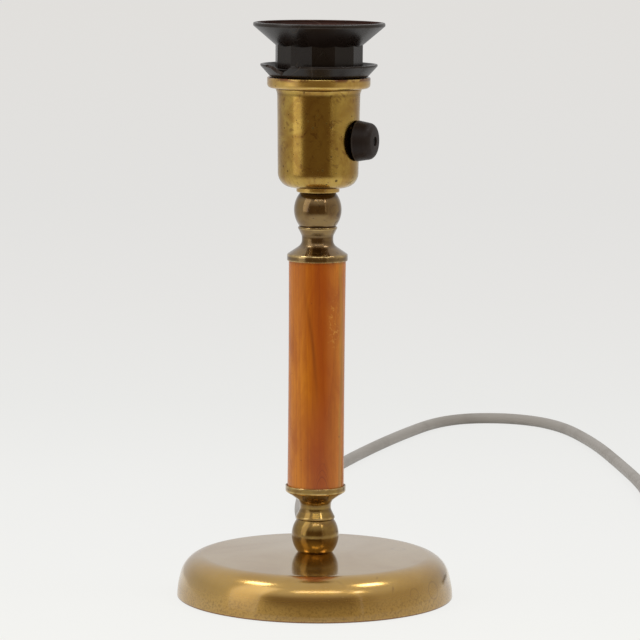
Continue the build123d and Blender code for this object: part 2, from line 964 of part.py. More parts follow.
def make_lead_coil(free_length):
    # half turns whose radius falls by half a pitch each, then grows again one layer up
    step = coil_pitch / 2
    middle = coil_half_turns // 2
    steps_in = [middle - abs(middle - index) for index in range(coil_half_turns)]
    start = Vector(*route_points[-1])
    straight = 2 * lead_radius
    low = lead_radius + coil_lift
    high = low + coil_pitch
    rise = plug_radius - high
    rise_path, _ = rise_edges((0, 0, 0), rise)
    rise_length = sum(edge.length for edge in rise_path)
    wound = lead_length - free_length - 2 * straight - rise_length
    outer = (wound / pi + step * sum(steps_in)) / coil_half_turns
    here = start + Vector(0, -straight, 0)
    edges = [Line(start, here)]
    samples = []
    for index, steps in enumerate(steps_in):
        side = 1 if index % 2 == 0 else -1
        across = outer - step * steps
        level_in = low if index <= middle else high
        level_out = low if index < middle else high
        arc_radius = hypot(2 * across, level_out - level_in) / 2
        there = Vector(here.X + side * 2 * across, here.Y, level_out)
        centre = (here + there) * 0.5
        crest = centre + Vector(0, -side * arc_radius, 0)
        arc = ThreePointArc(here, crest, there)
        edges.append(arc)
        samples += [(index, arc @ (step_along / coil_samples)) for step_along in range(coil_samples + 1)]
        here = there
    lift, top = rise_edges((here.X, here.Y, here.Z), rise)
    edges += lift
    end = Vector(top[0], top[1] + straight, top[2])
    edges.append(Line(top, end))
    path = Wire([edge.edge() for edge in edges])
    gaps = [
        (one - other).length - 2 * lead_radius
        for first, one in samples
        for second, other in samples
        if second - first >= 2
    ]
    print("coil: outer radius of its centre line", round(outer, 2))
    print("coil length:", round(path.length, 1), "whole lead:", round(path.length + free_length, 1))
    print("coil: least gap to itself", round(min(gaps), 3))
    return tube_along(path, lead_radius), outer, end


def make_coil_tie(outer):
    step = coil_pitch / 2
    start = route_points[-1]
    low = coil_lift - tie_gap - tie_thickness
    high = coil_lift + 2 * lead_radius + coil_pitch + tie_gap + tie_thickness
    bundle_middle = start[1] - 2 * lead_radius - outer
    near = bundle_middle - lead_radius - tie_gap - tie_thickness
    far = bundle_middle + coil_pitch + lead_radius + tie_bow + tie_gap + tie_thickness
    across = far - near
    up = high - low
    band = RectangleRounded(across, up, tie_round) - RectangleRounded(
        across - 2 * tie_thickness, up - 2 * tie_thickness, tie_round - tie_thickness
    )
    place = Plane(
        origin=(start[0] + outer + step, (near + far) / 2, (low + high) / 2),
        x_dir=(0, 1, 0),
        z_dir=(1, 0, 0),
    )
    return extrude(place * band, amount=tie_width / 2, both=True)


def plug_plane(start):
    return Plane(origin=start, x_dir=(0, 0, 1), z_dir=(-1, 0, 0))


def make_plug(start):
    relief = plug_relief_length
    grip = relief + plug_grip_length
    shoulder = grip + plug_shoulder_length
    face = shoulder + plug_disc_length
    outline = [
        (0.0, 0.0, 0.0),
        (plug_relief_radius, 0.0, 0.0),
        (plug_relief_root_radius, relief, 0.0),
        (plug_grip_radius, relief, plug_disc_round),
        (plug_grip_end_radius, grip, plug_disc_round),
        (plug_radius, shoulder, plug_disc_round),
        (plug_radius, face, plug_disc_round),
        (0.0, face, 0.0),
    ]
    plane = plug_plane(start)
    body = turned(outline, plane)
    axis_start = Vector(*start)
    strips = []
    for side in (-1, 1):
        slot_middle = axis_start + Vector(side * plug_radius, face, 0)
        slot = Pos(*slot_middle) * Box(
            2 * earth_slot_depth, 2 * earth_strip_length, earth_slot_width
        )
        body -= slot
        strip_across = side * (plug_radius - earth_slot_depth + earth_strip_thickness / 2)
        strip_middle = axis_start + Vector(strip_across, face - earth_strip_length / 2, 0)
        strips.append(
            Pos(*strip_middle)
            * Box(earth_strip_thickness, earth_strip_length, earth_slot_width - 2 * slip_gap)
        )
    pins = []
    for side in (-1, 1):
        root = axis_start + Vector(0, face, side * pin_spacing / 2)
        outline = [
            (0.0, 0.0, 0.0),
            (pin_radius, 0.0, 0.0),
            (pin_radius, pin_length, pin_tip_round),
            (0.0, pin_length, 0.0),
        ]
        pins.append(turned(outline, plug_plane(root)))
    return body, Compound(pins), Compound(strips)


def make_parts():
    fitting = make_fitting()
    terminals, terminal_screws = make_terminals()
    lead_free, free_length = make_lead_free()
    lead_coil, coil_radius, coil_end = make_lead_coil(free_length)
    plug_body, plug_pins, plug_earth_strips = make_plug(coil_end)
    washer_start = weight_ceiling - washer_height
    tube_start = washer_start - nut_height - tube_showing / 2
    tube_end = block_start + nut_height + tube_showing
    return {
        "felt_pad": rod(felt_radius, (0, 0, 0), (0, 0, 1), felt_height),
        "base_shell": make_base_shell(),
        "base_weight": make_base_weight(),
        "base_washer": ring(washer_radius, stack_bore_radius, washer_start, weight_ceiling),
        "base_nut": hexagon(nut_flats, tube_radius + running_gap, washer_start - nut_height, nut_height),
        "threaded_tube": ring(tube_radius, tube_bore_radius, tube_start, tube_end),
        "lower_fitting": Pos(0, 0, column_start) * Rot(180, 0, 0) * fitting,
        "wood_column": make_column(),
        "upper_fitting": Pos(0, 0, column_end) * fitting,
        "holder_collar": ring(collar_radius, stack_bore_radius, collar_start, shell_start, collar_round),
        "holder_shell": make_holder_shell(),
        "holder_nut": hexagon(nut_flats, tube_radius + running_gap, block_start, nut_height),
        "contact_block": make_contact_block(),
        "terminals": terminals,
        "terminal_screws": terminal_screws,
        "lamp_screw_shell": make_cap_shell(),
        "centre_contact": make_centre_contact(),
        "threaded_barrel": make_barrel(),
        "holder_top_ring": make_top_ring(),
        "lower_shade_ring": make_lower_ring(),
        "upper_shade_ring": make_upper_ring(),
        "switch_bush": switch_rod(bush_radius, bush_start, bush_end)
        - switch_rod(shaft_radius + running_gap, bush_start - overrun, bush_end + overrun),
        "switch_shaft": make_switch_shaft(),
        "switch_rotor": make_switch_rotor(),
        "switch_knob": make_knob(),
        "knob_screw": make_knob_screw(),
        "lead_bush": make_lead_bush(),
        "lead_inner": make_lead_inner(),
        "live_core": make_core(-1, terminal_angles[0]),
        "neutral_core": make_core(1, terminal_angles[1]),
        "earth_core": make_earth_core(),
        "earth_tag": make_earth_tag(),
        "earth_screw": make_earth_screw(),
        "lead_clamp": make_clamp(),
        "clamp_screws": make_clamp_screws(),
        "lead_free": lead_free,
        "lead_coil": lead_coil,
        "coil_tie": make_coil_tie(coil_radius),
        "plug_body": plug_body,
        "plug_pins": plug_pins,
        "plug_earth_strips": plug_earth_strips,
    }


os.makedirs("parts", exist_ok=True)
for node, shape in make_parts().items():
    export_step(shape, f"parts/{node}.step")
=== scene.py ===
import math
import bmesh
import bpy
from mathutils import Matrix, Quaternion, Vector


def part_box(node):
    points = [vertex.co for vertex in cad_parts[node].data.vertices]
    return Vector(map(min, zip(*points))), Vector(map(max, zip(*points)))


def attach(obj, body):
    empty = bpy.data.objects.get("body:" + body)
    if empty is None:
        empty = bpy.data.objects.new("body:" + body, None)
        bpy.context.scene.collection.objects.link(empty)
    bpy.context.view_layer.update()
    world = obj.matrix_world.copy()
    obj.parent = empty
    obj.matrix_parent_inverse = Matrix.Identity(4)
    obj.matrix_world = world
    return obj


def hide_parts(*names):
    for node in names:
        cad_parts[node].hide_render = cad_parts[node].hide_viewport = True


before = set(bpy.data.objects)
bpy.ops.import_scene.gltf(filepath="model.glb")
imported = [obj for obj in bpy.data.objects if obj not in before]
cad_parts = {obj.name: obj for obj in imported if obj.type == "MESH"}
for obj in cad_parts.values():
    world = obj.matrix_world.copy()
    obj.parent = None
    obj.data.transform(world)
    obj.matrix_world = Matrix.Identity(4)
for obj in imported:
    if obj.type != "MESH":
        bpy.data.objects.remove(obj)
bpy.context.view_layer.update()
mm = 0.001
fullTurn = 2 * math.pi


def newObject(name, data):
    thing = bpy.data.objects.new(name, data)
    bpy.context.scene.collection.objects.link(thing)
    return thing


# Camera at the photograph's viewing angle, rolled a little as the photograph is
cameraPlace = {"across": 0.00156, "back": -1.75, "up": 0.36107, "pitch": 7.158, "roll": 0.47,
               "lens": 196.86, "sensor": 36.0, "near": 0.1, "far": 60.0}


def makeCamera(place):
    data = bpy.data.cameras.new("studioCamera")
    data.lens = place["lens"]
    data.sensor_width = place["sensor"]
    data.clip_start = place["near"]
    data.clip_end = place["far"]
    camera = newObject("studioCamera", data)
    spot = Matrix.Translation((place["across"], place["back"], place["up"]))
    tilt = Matrix.Rotation(math.radians(90 - place["pitch"]), 4, "X")
    roll = Matrix.Rotation(math.radians(place["roll"]), 4, "Z")
    camera.matrix_world = spot @ tilt @ roll
    bpy.context.scene.camera = camera


# Mains lead: its route over the table in millimetres, then the neat coil out of view
lead = {
    "radius": 3.5, "length": 1.8,
    "route": [
        (0, 94, 7), (0, 119, 7), (-2.6, 152, 4.6), (-8.2, 196.5, 3.5), (-9, 247.7, 3.5),
        (-4.6, 314.4, 3.5), (20.5, 404, 3.5), (53.1, 497, 3.5), (85.4, 569, 3.5),
        (127.2, 579.3, 3.5), (160.3, 550.7, 3.5), (178.5, 474, 3.5), (188.1, 392.4, 3.5),
        (195, 312.2, 4.5), (195, 249, 4.5),
    ],
    "straight": 7.0, "coilRadius": 44.14, "halfTurns": 7, "step": 3.75, "low": 4.5, "high": 12.0,
    "pointsPerHalfTurn": 8, "riseRadius": 80.0, "riseShares": (0.3, 0.7), "plugHeight": 18.5,
    "cutsAlong": 10, "cutsAround": 6,
}


def coilPoints(lead):
    # half turns that wind inwards on the table, climb one layer and wind outwards again
    x, y, _ = lead["route"][-1]
    y -= lead["straight"]
    points = [(x, y, lead["low"])]
    middle = lead["halfTurns"] // 2
    count = lead["pointsPerHalfTurn"]
    for turn in range(lead["halfTurns"]):
        side = 1 if turn % 2 == 0 else -1
        across = lead["coilRadius"] - lead["step"] * (middle - abs(middle - turn))
        start = lead["low"] if turn <= middle else lead["high"]
        end = lead["low"] if turn < middle else lead["high"]
        centre = x + side * across
        reach = across / math.cos(math.pi / count / 2)  # the spline cuts inside its points
        for step in range(count):
            share = (step + 0.5) / count
            angle = math.pi * share
            points.append((centre - side * reach * math.cos(angle), y - side * reach * math.sin(angle),
                           start + (end - start) * share))
        x += side * 2 * across
    rise = lead["plugHeight"] - lead["high"]
    run = math.sqrt(rise * (4 * lead["riseRadius"] - rise))
    early, late = lead["riseShares"]
    points += [(x, y, lead["high"]), (x, y + run * early, lead["high"]),
               (x, y + run * late, lead["plugHeight"]), (x, y + run + lead["straight"], lead["plugHeight"])]
    return points


def makeLead(lead):
    points = lead["route"] + coilPoints(lead)
    curve = bpy.data.curves.new("mainsLead", "CURVE")
    curve.dimensions = "3D"
    spline = curve.splines.new("NURBS")
    spline.points.add(len(points) - 1)
    for point, (x, y, z) in zip(spline.points, points):
        point.co = (x * mm, y * mm, z * mm, 1)
    spline.order_u = 3
    spline.use_endpoint_u = True
    spline.resolution_u = lead["cutsAlong"]
    curve.bevel_depth = lead["radius"] * mm
    curve.bevel_resolution = lead["cutsAround"]
    curve.use_fill_caps = True
    return newObject("mainsLead", curve)


makeCamera(cameraPlace)
mainsLead = makeLead(lead)
print("camera and mains lead placed")


# Outlines: (distance from the axis, height) corners in millimetres, counterclockwise.
# Every point also tells how it stands out: 1 on a rounded edge, -1 in a corner, 0 elsewhere.
def arcThrough(start, middle, end, count):
    ax, ay = start
    bx, by = middle
    cx, cy = end
    d = 2 * (ax * (by - cy) + bx * (cy - ay) + cx * (ay - by))
    sa, sb, sc = ax * ax + ay * ay, bx * bx + by * by, cx * cx + cy * cy
    ux = (sa * (by - cy) + sb * (cy - ay) + sc * (ay - by)) / d
    uy = (sa * (cx - bx) + sb * (ax - cx) + sc * (bx - ax)) / d
    first = math.atan2(ay - uy, ax - ux)
    turn = (math.atan2(cy - uy, cx - ux) - first) % fullTurn
    half = (math.atan2(by - uy, bx - ux) - first) % fullTurn
    if half > turn:
        turn -= fullTurn
    radius = math.hypot(ax - ux, ay - uy)
    steps = [first + turn * step / count for step in range(1, count)]
    return [(ux + radius * math.cos(angle), uy + radius * math.sin(angle)) for angle in steps]


def arcAfter(start, heading, end, count):
    # leaves start along heading and bends evenly to end
    dx, dy = end[0] - start[0], end[1] - start[1]
    side = (heading[1], -heading[0])
    radius = (dx * dx + dy * dy) / (2 * (dx * side[0] + dy * side[1]))
    centre = (start[0] + side[0] * radius, start[1] + side[1] * radius)
    first = math.atan2(start[1] - centre[1], start[0] - centre[0])
    last = math.atan2(end[1] - centre[1], end[0] - centre[0])
    middle = first + ((last - first + math.pi) % fullTurn - math.pi) / 2
    crest = (centre[0] + abs(radius) * math.cos(middle), centre[1] + abs(radius) * math.sin(middle))
    return arcThrough(start, crest, end, count)


# how finely corners are rounded: radii and lengths in millimetres, angles in radians
rounding = {"least": 0.12, "flatTurn": 0.02, "reachShare": 0.48, "stepTurn": math.radians(12),
            "sharpRadius": 0.3, "standRadius": 1.3, "standTurn": 0.6, "fadeShare": 0.4, "leastFade": 0.05}


def roundedOutline(corners, fade=0.7):
    # corners: (across, up, round), where round None leaves the point as it is
    points = []
    for index, (x, y, bend) in enumerate(corners):
        before = Vector(corners[index - 1][:2])
        here = Vector((x, y))
        after = Vector(corners[(index + 1) % len(corners)][:2])
        runIn, runOut = here - before, after - here
        turn = runIn.angle_signed(runOut, 0.0)  # clockwise turns are positive here
        if bend is None or abs(turn) < rounding["flatTurn"]:
            points.append((x, y, 0.0))
            continue
        sign = -1.0 if turn > 0 else 1.0
        turn = abs(turn)
        radius = max(bend, rounding["least"])
        reach = radius * math.tan(turn / 2)
        limit = rounding["reachShare"] * min(runIn.length, runOut.length)
        if reach > limit:
            radius *= limit / reach
            reach = limit
        start, end = here - runIn.normalized() * reach, here + runOut.normalized() * reach
        inward = (runOut.normalized() - runIn.normalized()).normalized()
        centre = here + inward * (radius / math.cos(turn / 2))
        first = start - centre
        stand = sign * min(1.0, rounding["standRadius"] / max(radius, rounding["sharpRadius"]))
        stand *= min(1.0, turn / rounding["standTurn"])
        count = max(2, int(turn / rounding["stepTurn"]) + 1)
        gapIn, gapOut = (min(fade, rounding["fadeShare"] * run.length - reach) for run in (runIn, runOut))
        if gapIn > rounding["leastFade"]:
            spot = start - runIn.normalized() * gapIn
            points.append((spot.x, spot.y, 0.0))
        for step in range(count + 1):
            angle = turn * step / count * sign
            c, s = math.cos(angle), math.sin(angle)
            points.append((centre.x + c * first.x - s * first.y, centre.y + s * first.x + c * first.y, stand))
        if gapOut > rounding["leastFade"]:
            spot = end + runOut.normalized() * gapOut
            points.append((spot.x, spot.y, 0.0))
    return points


# Node trees are written with these short helpers
class Wire:
    # a socket that can be added, multiplied and so on, so that a tree reads like a sum
    def __init__(self, socket):
        self.socket = socket
        self.tree = socket.id_data

    def __add__(self, other):
        return calc("ADD", self, other)

    def __sub__(self, other):
        return calc("SUBTRACT", self, other)

    def __rsub__(self, other):
        return calc("SUBTRACT", other, self)

    def __mul__(self, other):
        return calc("MULTIPLY", self, other)

    def __truediv__(self, other):
        return calc("DIVIDE", self, other)

    def __rtruediv__(self, other):
        return calc("DIVIDE", other, self)


def connect(node, values):
    for key, value in values.items():
        value = value.socket if isinstance(value, Wire) else value
        if isinstance(value, bpy.types.NodeSocket):
            node.id_data.links.new(value, node.inputs[key])
        else:
            node.inputs[key].default_value = value


def addNode(tree, kind, inputs=None, **settings):
    node = tree.nodes.new(kind)
    for key, value in settings.items():
        setattr(node, key, value)
    connect(node, inputs or {})
    return node


def wired(tree, kind, inputs=None, output=0, **settings):
    return Wire(addNode(tree, kind, inputs, **settings).outputs[output])


def calc(operation, *values, clamp=False):
    tree = next(value.tree for value in values if isinstance(value, Wire))
    return wired(tree, "ShaderNodeMath", dict(enumerate(values)), operation=operation, use_clamp=clamp)


def separate(vector):
    return [Wire(socket) for socket in addNode(vector.tree, "ShaderNodeSeparateXYZ", {0: vector}).outputs]


def combine(tree, x=0.0, y=0.0, z=0.0):
    return wired(tree, "ShaderNodeCombineXYZ", {"X": x, "Y": y, "Z": z})


def noiseAt(vector, scale, detail=2.0, **more):
    values = {"Vector": vector, "Scale": scale, "Detail": detail, **more}
    return wired(vector.tree, "ShaderNodeTexNoise", values)


def spread(value, low, high, form="LINEAR"):
    # 0 at low, 1 at high
    return wired(value.tree, "ShaderNodeMapRange", {"Value": value, "From Min": low, "From Max": high},
                 interpolation_type=form)


def bandMask(value, middle, wide):
    # 1 in the middle, fading to 0 a width away
    return spread(calc("ABSOLUTE", value - middle), wide, 0.0, "SMOOTHSTEP")


def mixTone(share, first, second):
    return wired(share.tree, "ShaderNodeMix", {0: share, 6: first, 7: second}, 2, data_type="RGBA")


def mixValue(share, first, second):
    return wired(share.tree, "ShaderNodeMix", {0: share, 2: first, 3: second}, data_type="FLOAT")


def newTree(name, inputs, outputs, kind="ShaderNodeTree"):
    # inputs: a word is the socket's kind, a number its value; outputs: their kinds
    tree = bpy.data.node_groups.new(name, kind)
    for title, value in inputs.items():
        word = value if isinstance(value, str) else "Int" if isinstance(value, int) else "Float"
        socket = tree.interface.new_socket(title, in_out="INPUT", socket_type="NodeSocket" + word)
        if word != value:
            socket.default_value = value
    for title, word in outputs.items():
        tree.interface.new_socket(title, in_out="OUTPUT", socket_type="NodeSocket" + word)
    entry = tree.nodes.new("NodeGroupInput")
    return tree, {title: Wire(entry.outputs[title]) for title in inputs}, tree.nodes.new("NodeGroupOutput")


def newShapeTree(name, inputs):
    return newTree(name, {**inputs, "Finish": "Material"}, {"Piece": "Geometry"}, "GeometryNodeTree")


def endShapeTree(shape, given, result):
    solid = wired(shape.tree, "GeometryNodeRealizeInstances", {"Geometry": shape})
    dressed = wired(shape.tree, "GeometryNodeSetMaterial", {"Geometry": solid, "Material": given["Finish"]})
    connect(result, {"Piece": dressed})
    return shape.tree


# Lathe: carries a closed outline round the axis, as the real pieces were turned
def latheTree():
    tree, given, result = newShapeTree("latheTree", {
        "Outline": "Geometry", "Segments": 192, "Axis Radius": 0.001})
    chain = wired(tree, "GeometryNodeMeshToCurve", {"Mesh": given["Outline"]})
    x, _, z = separate(wired(tree, "GeometryNodeInputPosition"))
    spot = combine(tree, x - given["Axis Radius"], z * -1.0)
    chain = wired(tree, "GeometryNodeSetPosition", {"Geometry": chain, "Position": spot})
    circle = wired(tree, "GeometryNodeCurvePrimitiveCircle",
                   {"Resolution": given["Segments"], "Radius": given["Axis Radius"]})
    circle = wired(tree, "GeometryNodeSetCurveNormal", {"Curve": circle}, mode="Z_UP")
    skin = wired(tree, "GeometryNodeCurveToMesh", {"Curve": circle, "Profile Curve": chain})
    smooth = wired(tree, "GeometryNodeSetShadeSmooth", {"Geometry": skin, "Shade Smooth": True})
    return endShapeTree(smooth, given, result)


# Many-sided neck under a cone: each flat ends where it meets the cone, so the join is scalloped
def neckTree():
    tree, given, result = newShapeTree("neckTree", {
        "Turned": "Geometry", "Sides": 12, "Corner Radius": 0.022, "Corner Angle": 0.0, "Bottom": 0.0,
        "Neck Height": 0.011, "Cone Rise": 0.85})
    x, y, _ = separate(wired(tree, "GeometryNodeInputPosition"))
    angle = calc("ARCTAN2", y, x)
    step = fullTurn / given["Sides"]
    within = calc("FLOORED_MODULO", angle, step) - step * 0.5
    flat = given["Corner Radius"] * calc("COSINE", step * 0.5)
    radius = flat / calc("COSINE", within)
    short = (given["Corner Radius"] - radius) * given["Cone Rise"]
    share = wired(tree, "GeometryNodeInputNamedAttribute", {"Name": "neck"}, "Attribute", data_type="FLOAT")
    up = (given["Neck Height"] - short) * share + given["Bottom"]
    spot = combine(tree, radius * calc("COSINE", angle), radius * calc("SINE", angle), up)
    onNeck = wired(tree, "FunctionNodeCompare", {0: share, 1: -0.5}, data_type="FLOAT",
                   operation="GREATER_THAN")
    shaped = wired(tree, "GeometryNodeSetPosition",
                   {"Geometry": given["Turned"], "Selection": onNeck, "Position": spot})
    turned = wired(tree, "GeometryNodeTransform",
                   {"Geometry": shaped, "Rotation": combine(tree, z=given["Corner Angle"])})
    return endShapeTree(turned, given, result)


# Screw thread: a wall that steps in and out along a helix
def threadTree():
    tree, given, result = newShapeTree("threadTree", {
        "Blank": "Geometry", "Segments": 160, "Rings": 120, "Radius": 0.013, "Depth": 0.001, "Pitch": 0.0036,
        "Bottom": 0.0, "Height": 0.02, "Run Out": 0.002, "Fullness": 1.0, "Weld": 0.000001})
    sheet = wired(tree, "GeometryNodeMeshGrid", {
        "Size X": 1.0, "Size Y": 1.0, "Vertices X": given["Segments"] + 1, "Vertices Y": given["Rings"]})
    x, y, _ = separate(wired(tree, "GeometryNodeInputPosition"))
    turn = (x + 0.5) * fullTurn
    up = (y + 0.5) * given["Height"]
    wave = calc("COSINE", up / given["Pitch"] * fullTurn - turn)
    wave = calc("TANH", wave * given["Fullness"]) / calc("TANH", given["Fullness"])
    fade = calc("DIVIDE", calc("MINIMUM", up, given["Height"] - up), given["Run Out"], clamp=True)
    radius = given["Radius"] - (wave * 0.5 + 0.5) * fade * given["Depth"]
    spot = combine(tree, radius * calc("COSINE", turn), radius * calc("SINE", turn), up + given["Bottom"])
    wound = wired(tree, "GeometryNodeSetPosition", {"Geometry": sheet, "Position": spot})
    closed = wired(tree, "GeometryNodeMergeByDistance", {"Geometry": wound, "Distance": given["Weld"]})
    smooth = wired(tree, "GeometryNodeSetShadeSmooth", {"Geometry": closed, "Shade Smooth": True})
    return endShapeTree(smooth, given, result)


def settle(piece):
    # keeps what the modifiers make as a plain mesh and takes the modifiers off
    bpy.context.view_layer.update()
    old = piece.data
    shaped = piece.evaluated_get(bpy.context.evaluated_depsgraph_get())
    piece.data = bpy.data.meshes.new_from_object(shaped)
    piece.modifiers.clear()
    bpy.data.meshes.remove(old)
    piece.data.name = piece.name


def runTree(piece, tree, values):
    modifier = piece.modifiers.new("shape", "NODES")
    modifier.node_group = tree
    for item in tree.interface.items_tree:
        if item.in_out == "INPUT" and item.name in values:
            modifier[item.identifier] = values[item.name]
    settle(piece)


tiny = 1e-6  # lengths under this count as none


def cleanMesh(piece, angle=40.0):
    work = bmesh.new()
    work.from_mesh(piece.data)
    bmesh.ops.remove_doubles(work, verts=work.verts, dist=tiny)
    bmesh.ops.recalc_face_normals(work, faces=work.faces)
    work.to_mesh(piece.data)
    work.free()
    piece.data.set_sharp_from_angle(angle=math.radians(angle))
    return piece


lathe = latheTree()
neckShape = neckTree()
thread = threadTree()


def turnPiece(name, points, low, finish, segments=192, place=None, neck=None):
    # low: height of the outline's zero in metres; place: turns the finished mesh into position;
    # neck: for each point its share of the many-sided neck's height, or -1 away from the neck
    mesh = bpy.data.meshes.new(name)
    spots = [(x * mm, 0.0, z * mm + low) for x, z, _ in points]
    count = len(spots)
    mesh.from_pydata(spots, [(i, (i + 1) % count) for i in range(count)], [])
    mesh.attributes.new("stand", "FLOAT", "POINT").data.foreach_set("value", [point[2] for point in points])
    if neck is not None:
        mesh.attributes.new("neck", "FLOAT", "POINT").data.foreach_set("value", neck)
    piece = newObject(name, mesh)
    runTree(piece, lathe, {"Segments": segments, "Finish": finish})
    if place is not None:
        piece.data.transform(place)
    return cleanMesh(piece)


def turnCorners(name, node, corners, finish, segments):
    return turnPiece(name, roundedOutline(corners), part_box(node)[0].z, finish, segments)


# Shader groups that several finishes share
def aroundAxisGroup():
    # distance from the lamp's axis and height, in millimetres
    tree, given, result = newTree(
        "aroundAxis", {"Vector": "Vector"},
        {"Distance": "Float", "Height": "Float"})
    x, y, z = separate(given["Vector"])
    connect(result, {"Distance": calc("SQRT", x * x + y * y) * (1 / mm), "Height": z * (1 / mm)})
    return tree


def turningLinesGroup():
    # fine rings that the lathe tool or the brush leaves round the axis
    tree, given, result = newTree(
        "turningLines", {"Vector": "Vector", "Lines Per Millimetre": 5.0, "Waver": 0.2, "Waver Scale": 60.0},
        {"Height": "Float"})
    distance, height = placeGroup(aroundAxis, given["Vector"])
    drift = noiseAt(given["Vector"], given["Waver Scale"]) * given["Waver"]
    lines = wired(tree, "ShaderNodeTexNoise", {
        "Vector": combine(tree, distance + drift, height + drift), "Scale": given["Lines Per Millimetre"],
        "Detail": 2.0, "Roughness": 0.6}, noise_dimensions="2D")
    connect(result, {"Height": lines})
    return tree


def speckleGroup():
    # small spots and pits, denser in patches
    tree, given, result = newTree(
        "speckle", {"Vector": "Vector", "Scale": 900.0, "Amount": 0.3, "Patches": 60.0, "Crispness": 8.0},
        {"Mask": "Float"})
    cells = addNode(tree, "ShaderNodeTexVoronoi", {"Vector": given["Vector"], "Scale": given["Scale"]})
    chance = wired(tree, "ShaderNodeSeparateColor", {0: cells.outputs["Color"]})
    patch = spread(noiseAt(given["Vector"], given["Patches"], 3.0), 0.38, 0.72)
    limit = patch * given["Amount"] * chance
    mask = calc("MULTIPLY", limit - Wire(cells.outputs["Distance"]), given["Crispness"], clamp=True)
    connect(result, {"Mask": mask})
    return tree


def stainGroup():
    # large soft-edged clouds of tone
    tree, given, result = newTree(
        "stain", {"Vector": "Vector", "Scale": 30.0, "From": 0.5, "To": 0.7, "Warp": 1.0},
        {"Mask": "Float"})
    cloud = noiseAt(given["Vector"], given["Scale"], 6.0, Roughness=0.6, Distortion=given["Warp"])
    connect(result, {"Mask": spread(cloud, given["From"], given["To"], "SMOOTHSTEP")})
    return tree


def rubbedEdgeGroup():
    # wear on rounded edges, on the brass fittings and the knob partly a painted highlight, and dirt in
    # corners, broken up by noise
    tree, given, result = newTree(
        "rubbedEdge", {"Vector": "Vector", "Wear And Glint": 0.6, "Dirt": 0.6, "Scale": 250.0},
        {"Wear And Glint": "Float", "Dirt": "Float"})
    stand = wired(tree, "ShaderNodeAttribute", output="Fac", attribute_name="stand")
    broken = spread(noiseAt(given["Vector"], given["Scale"], 4.0), 0.3, 0.65)
    raised, sunk = calc("MAXIMUM", stand, 0.0), calc("MAXIMUM", stand * -1.0, 0.0)
    connect(result, {"Wear And Glint": raised * broken * given["Wear And Glint"], "Dirt": sunk * given["Dirt"]})
    return tree


def scratchGroup():
    # thin curved scratches in two directions
    tree, given, result = newTree(
        "scratches", {"Vector": "Vector", "Scale": 60.0, "Thin": 0.02, "Amount": 0.5, "Patches": 45.0},
        {"Mask": "Float"})
    marks = []
    for turn in (0.5, 2.1):
        turned = wired(tree, "ShaderNodeMapping", {
            "Vector": given["Vector"], "Rotation": (turn, 0.3, turn), "Scale": (1.0, 0.12, 1.0)})
        lines = noiseAt(turned, given["Scale"], 0.0, Distortion=0.4)
        line = calc("SUBTRACT", 1.0, calc("ABSOLUTE", lines - 0.5) / given["Thin"], clamp=True)
        marks.append(line * spread(noiseAt(turned, given["Patches"], 1.0), 0.58, 0.66))
    connect(result, {"Mask": calc("MAXIMUM", *marks) * given["Amount"]})
    return tree


def placeGroup(groupTree, vector, values=None):
    node = addNode(vector.tree, "ShaderNodeGroup", {"Vector": vector, **(values or {})}, node_tree=groupTree)
    wires = [Wire(socket) for socket in node.outputs]
    return wires[0] if len(wires) == 1 else wires


aroundAxis = aroundAxisGroup()
turningLines = turningLinesGroup()
speckle = speckleGroup()
stain = stainGroup()
rubbedEdge = rubbedEdgeGroup()
scratches = scratchGroup()


def linear(red, green, blue):
    # colours are written as a screen shows them, from 0 to 255
    shares = [value / 255 for value in (red, green, blue)]
    return (*(s / 12.92 if s <= 0.04045 else ((s + 0.055) / 1.055) ** 2.4 for s in shares), 1.0)


def withTones(look):
    return {key: linear(*value) if key.lower().endswith("tone") else value for key, value in look.items()}


def newFinish(name, settings):
    material = bpy.data.materials.new(name)
    material.use_nodes = True
    shader = material.node_tree.nodes["Principled BSDF"]
    connect(shader, settings)
    return material, shader, wired(material.node_tree, "ShaderNodeTexCoord", output="Object")


def addBump(shader, height, strength, distance, below=None):
    values = {"Height": height, "Strength": strength, "Distance": distance}
    if below is not None:
        values["Normal"] = below
    bump = wired(height.tree, "ShaderNodeBump", values)
    connect(shader, {"Normal": bump})
    return bump


def tintRubbed(tone, spot, look, values):
    # worn edges, partly a painted highlight, and dirty corners over a tone, and where the dirt lies
    wear, dirt = placeGroup(rubbedEdge, spot, {"Wear And Glint": look["wear"], "Dirt": look["dirt"], **values})
    return mixTone(dirt, mixTone(wear, tone, look["wornAndGlintTone"]), look["dirtTone"]), dirt
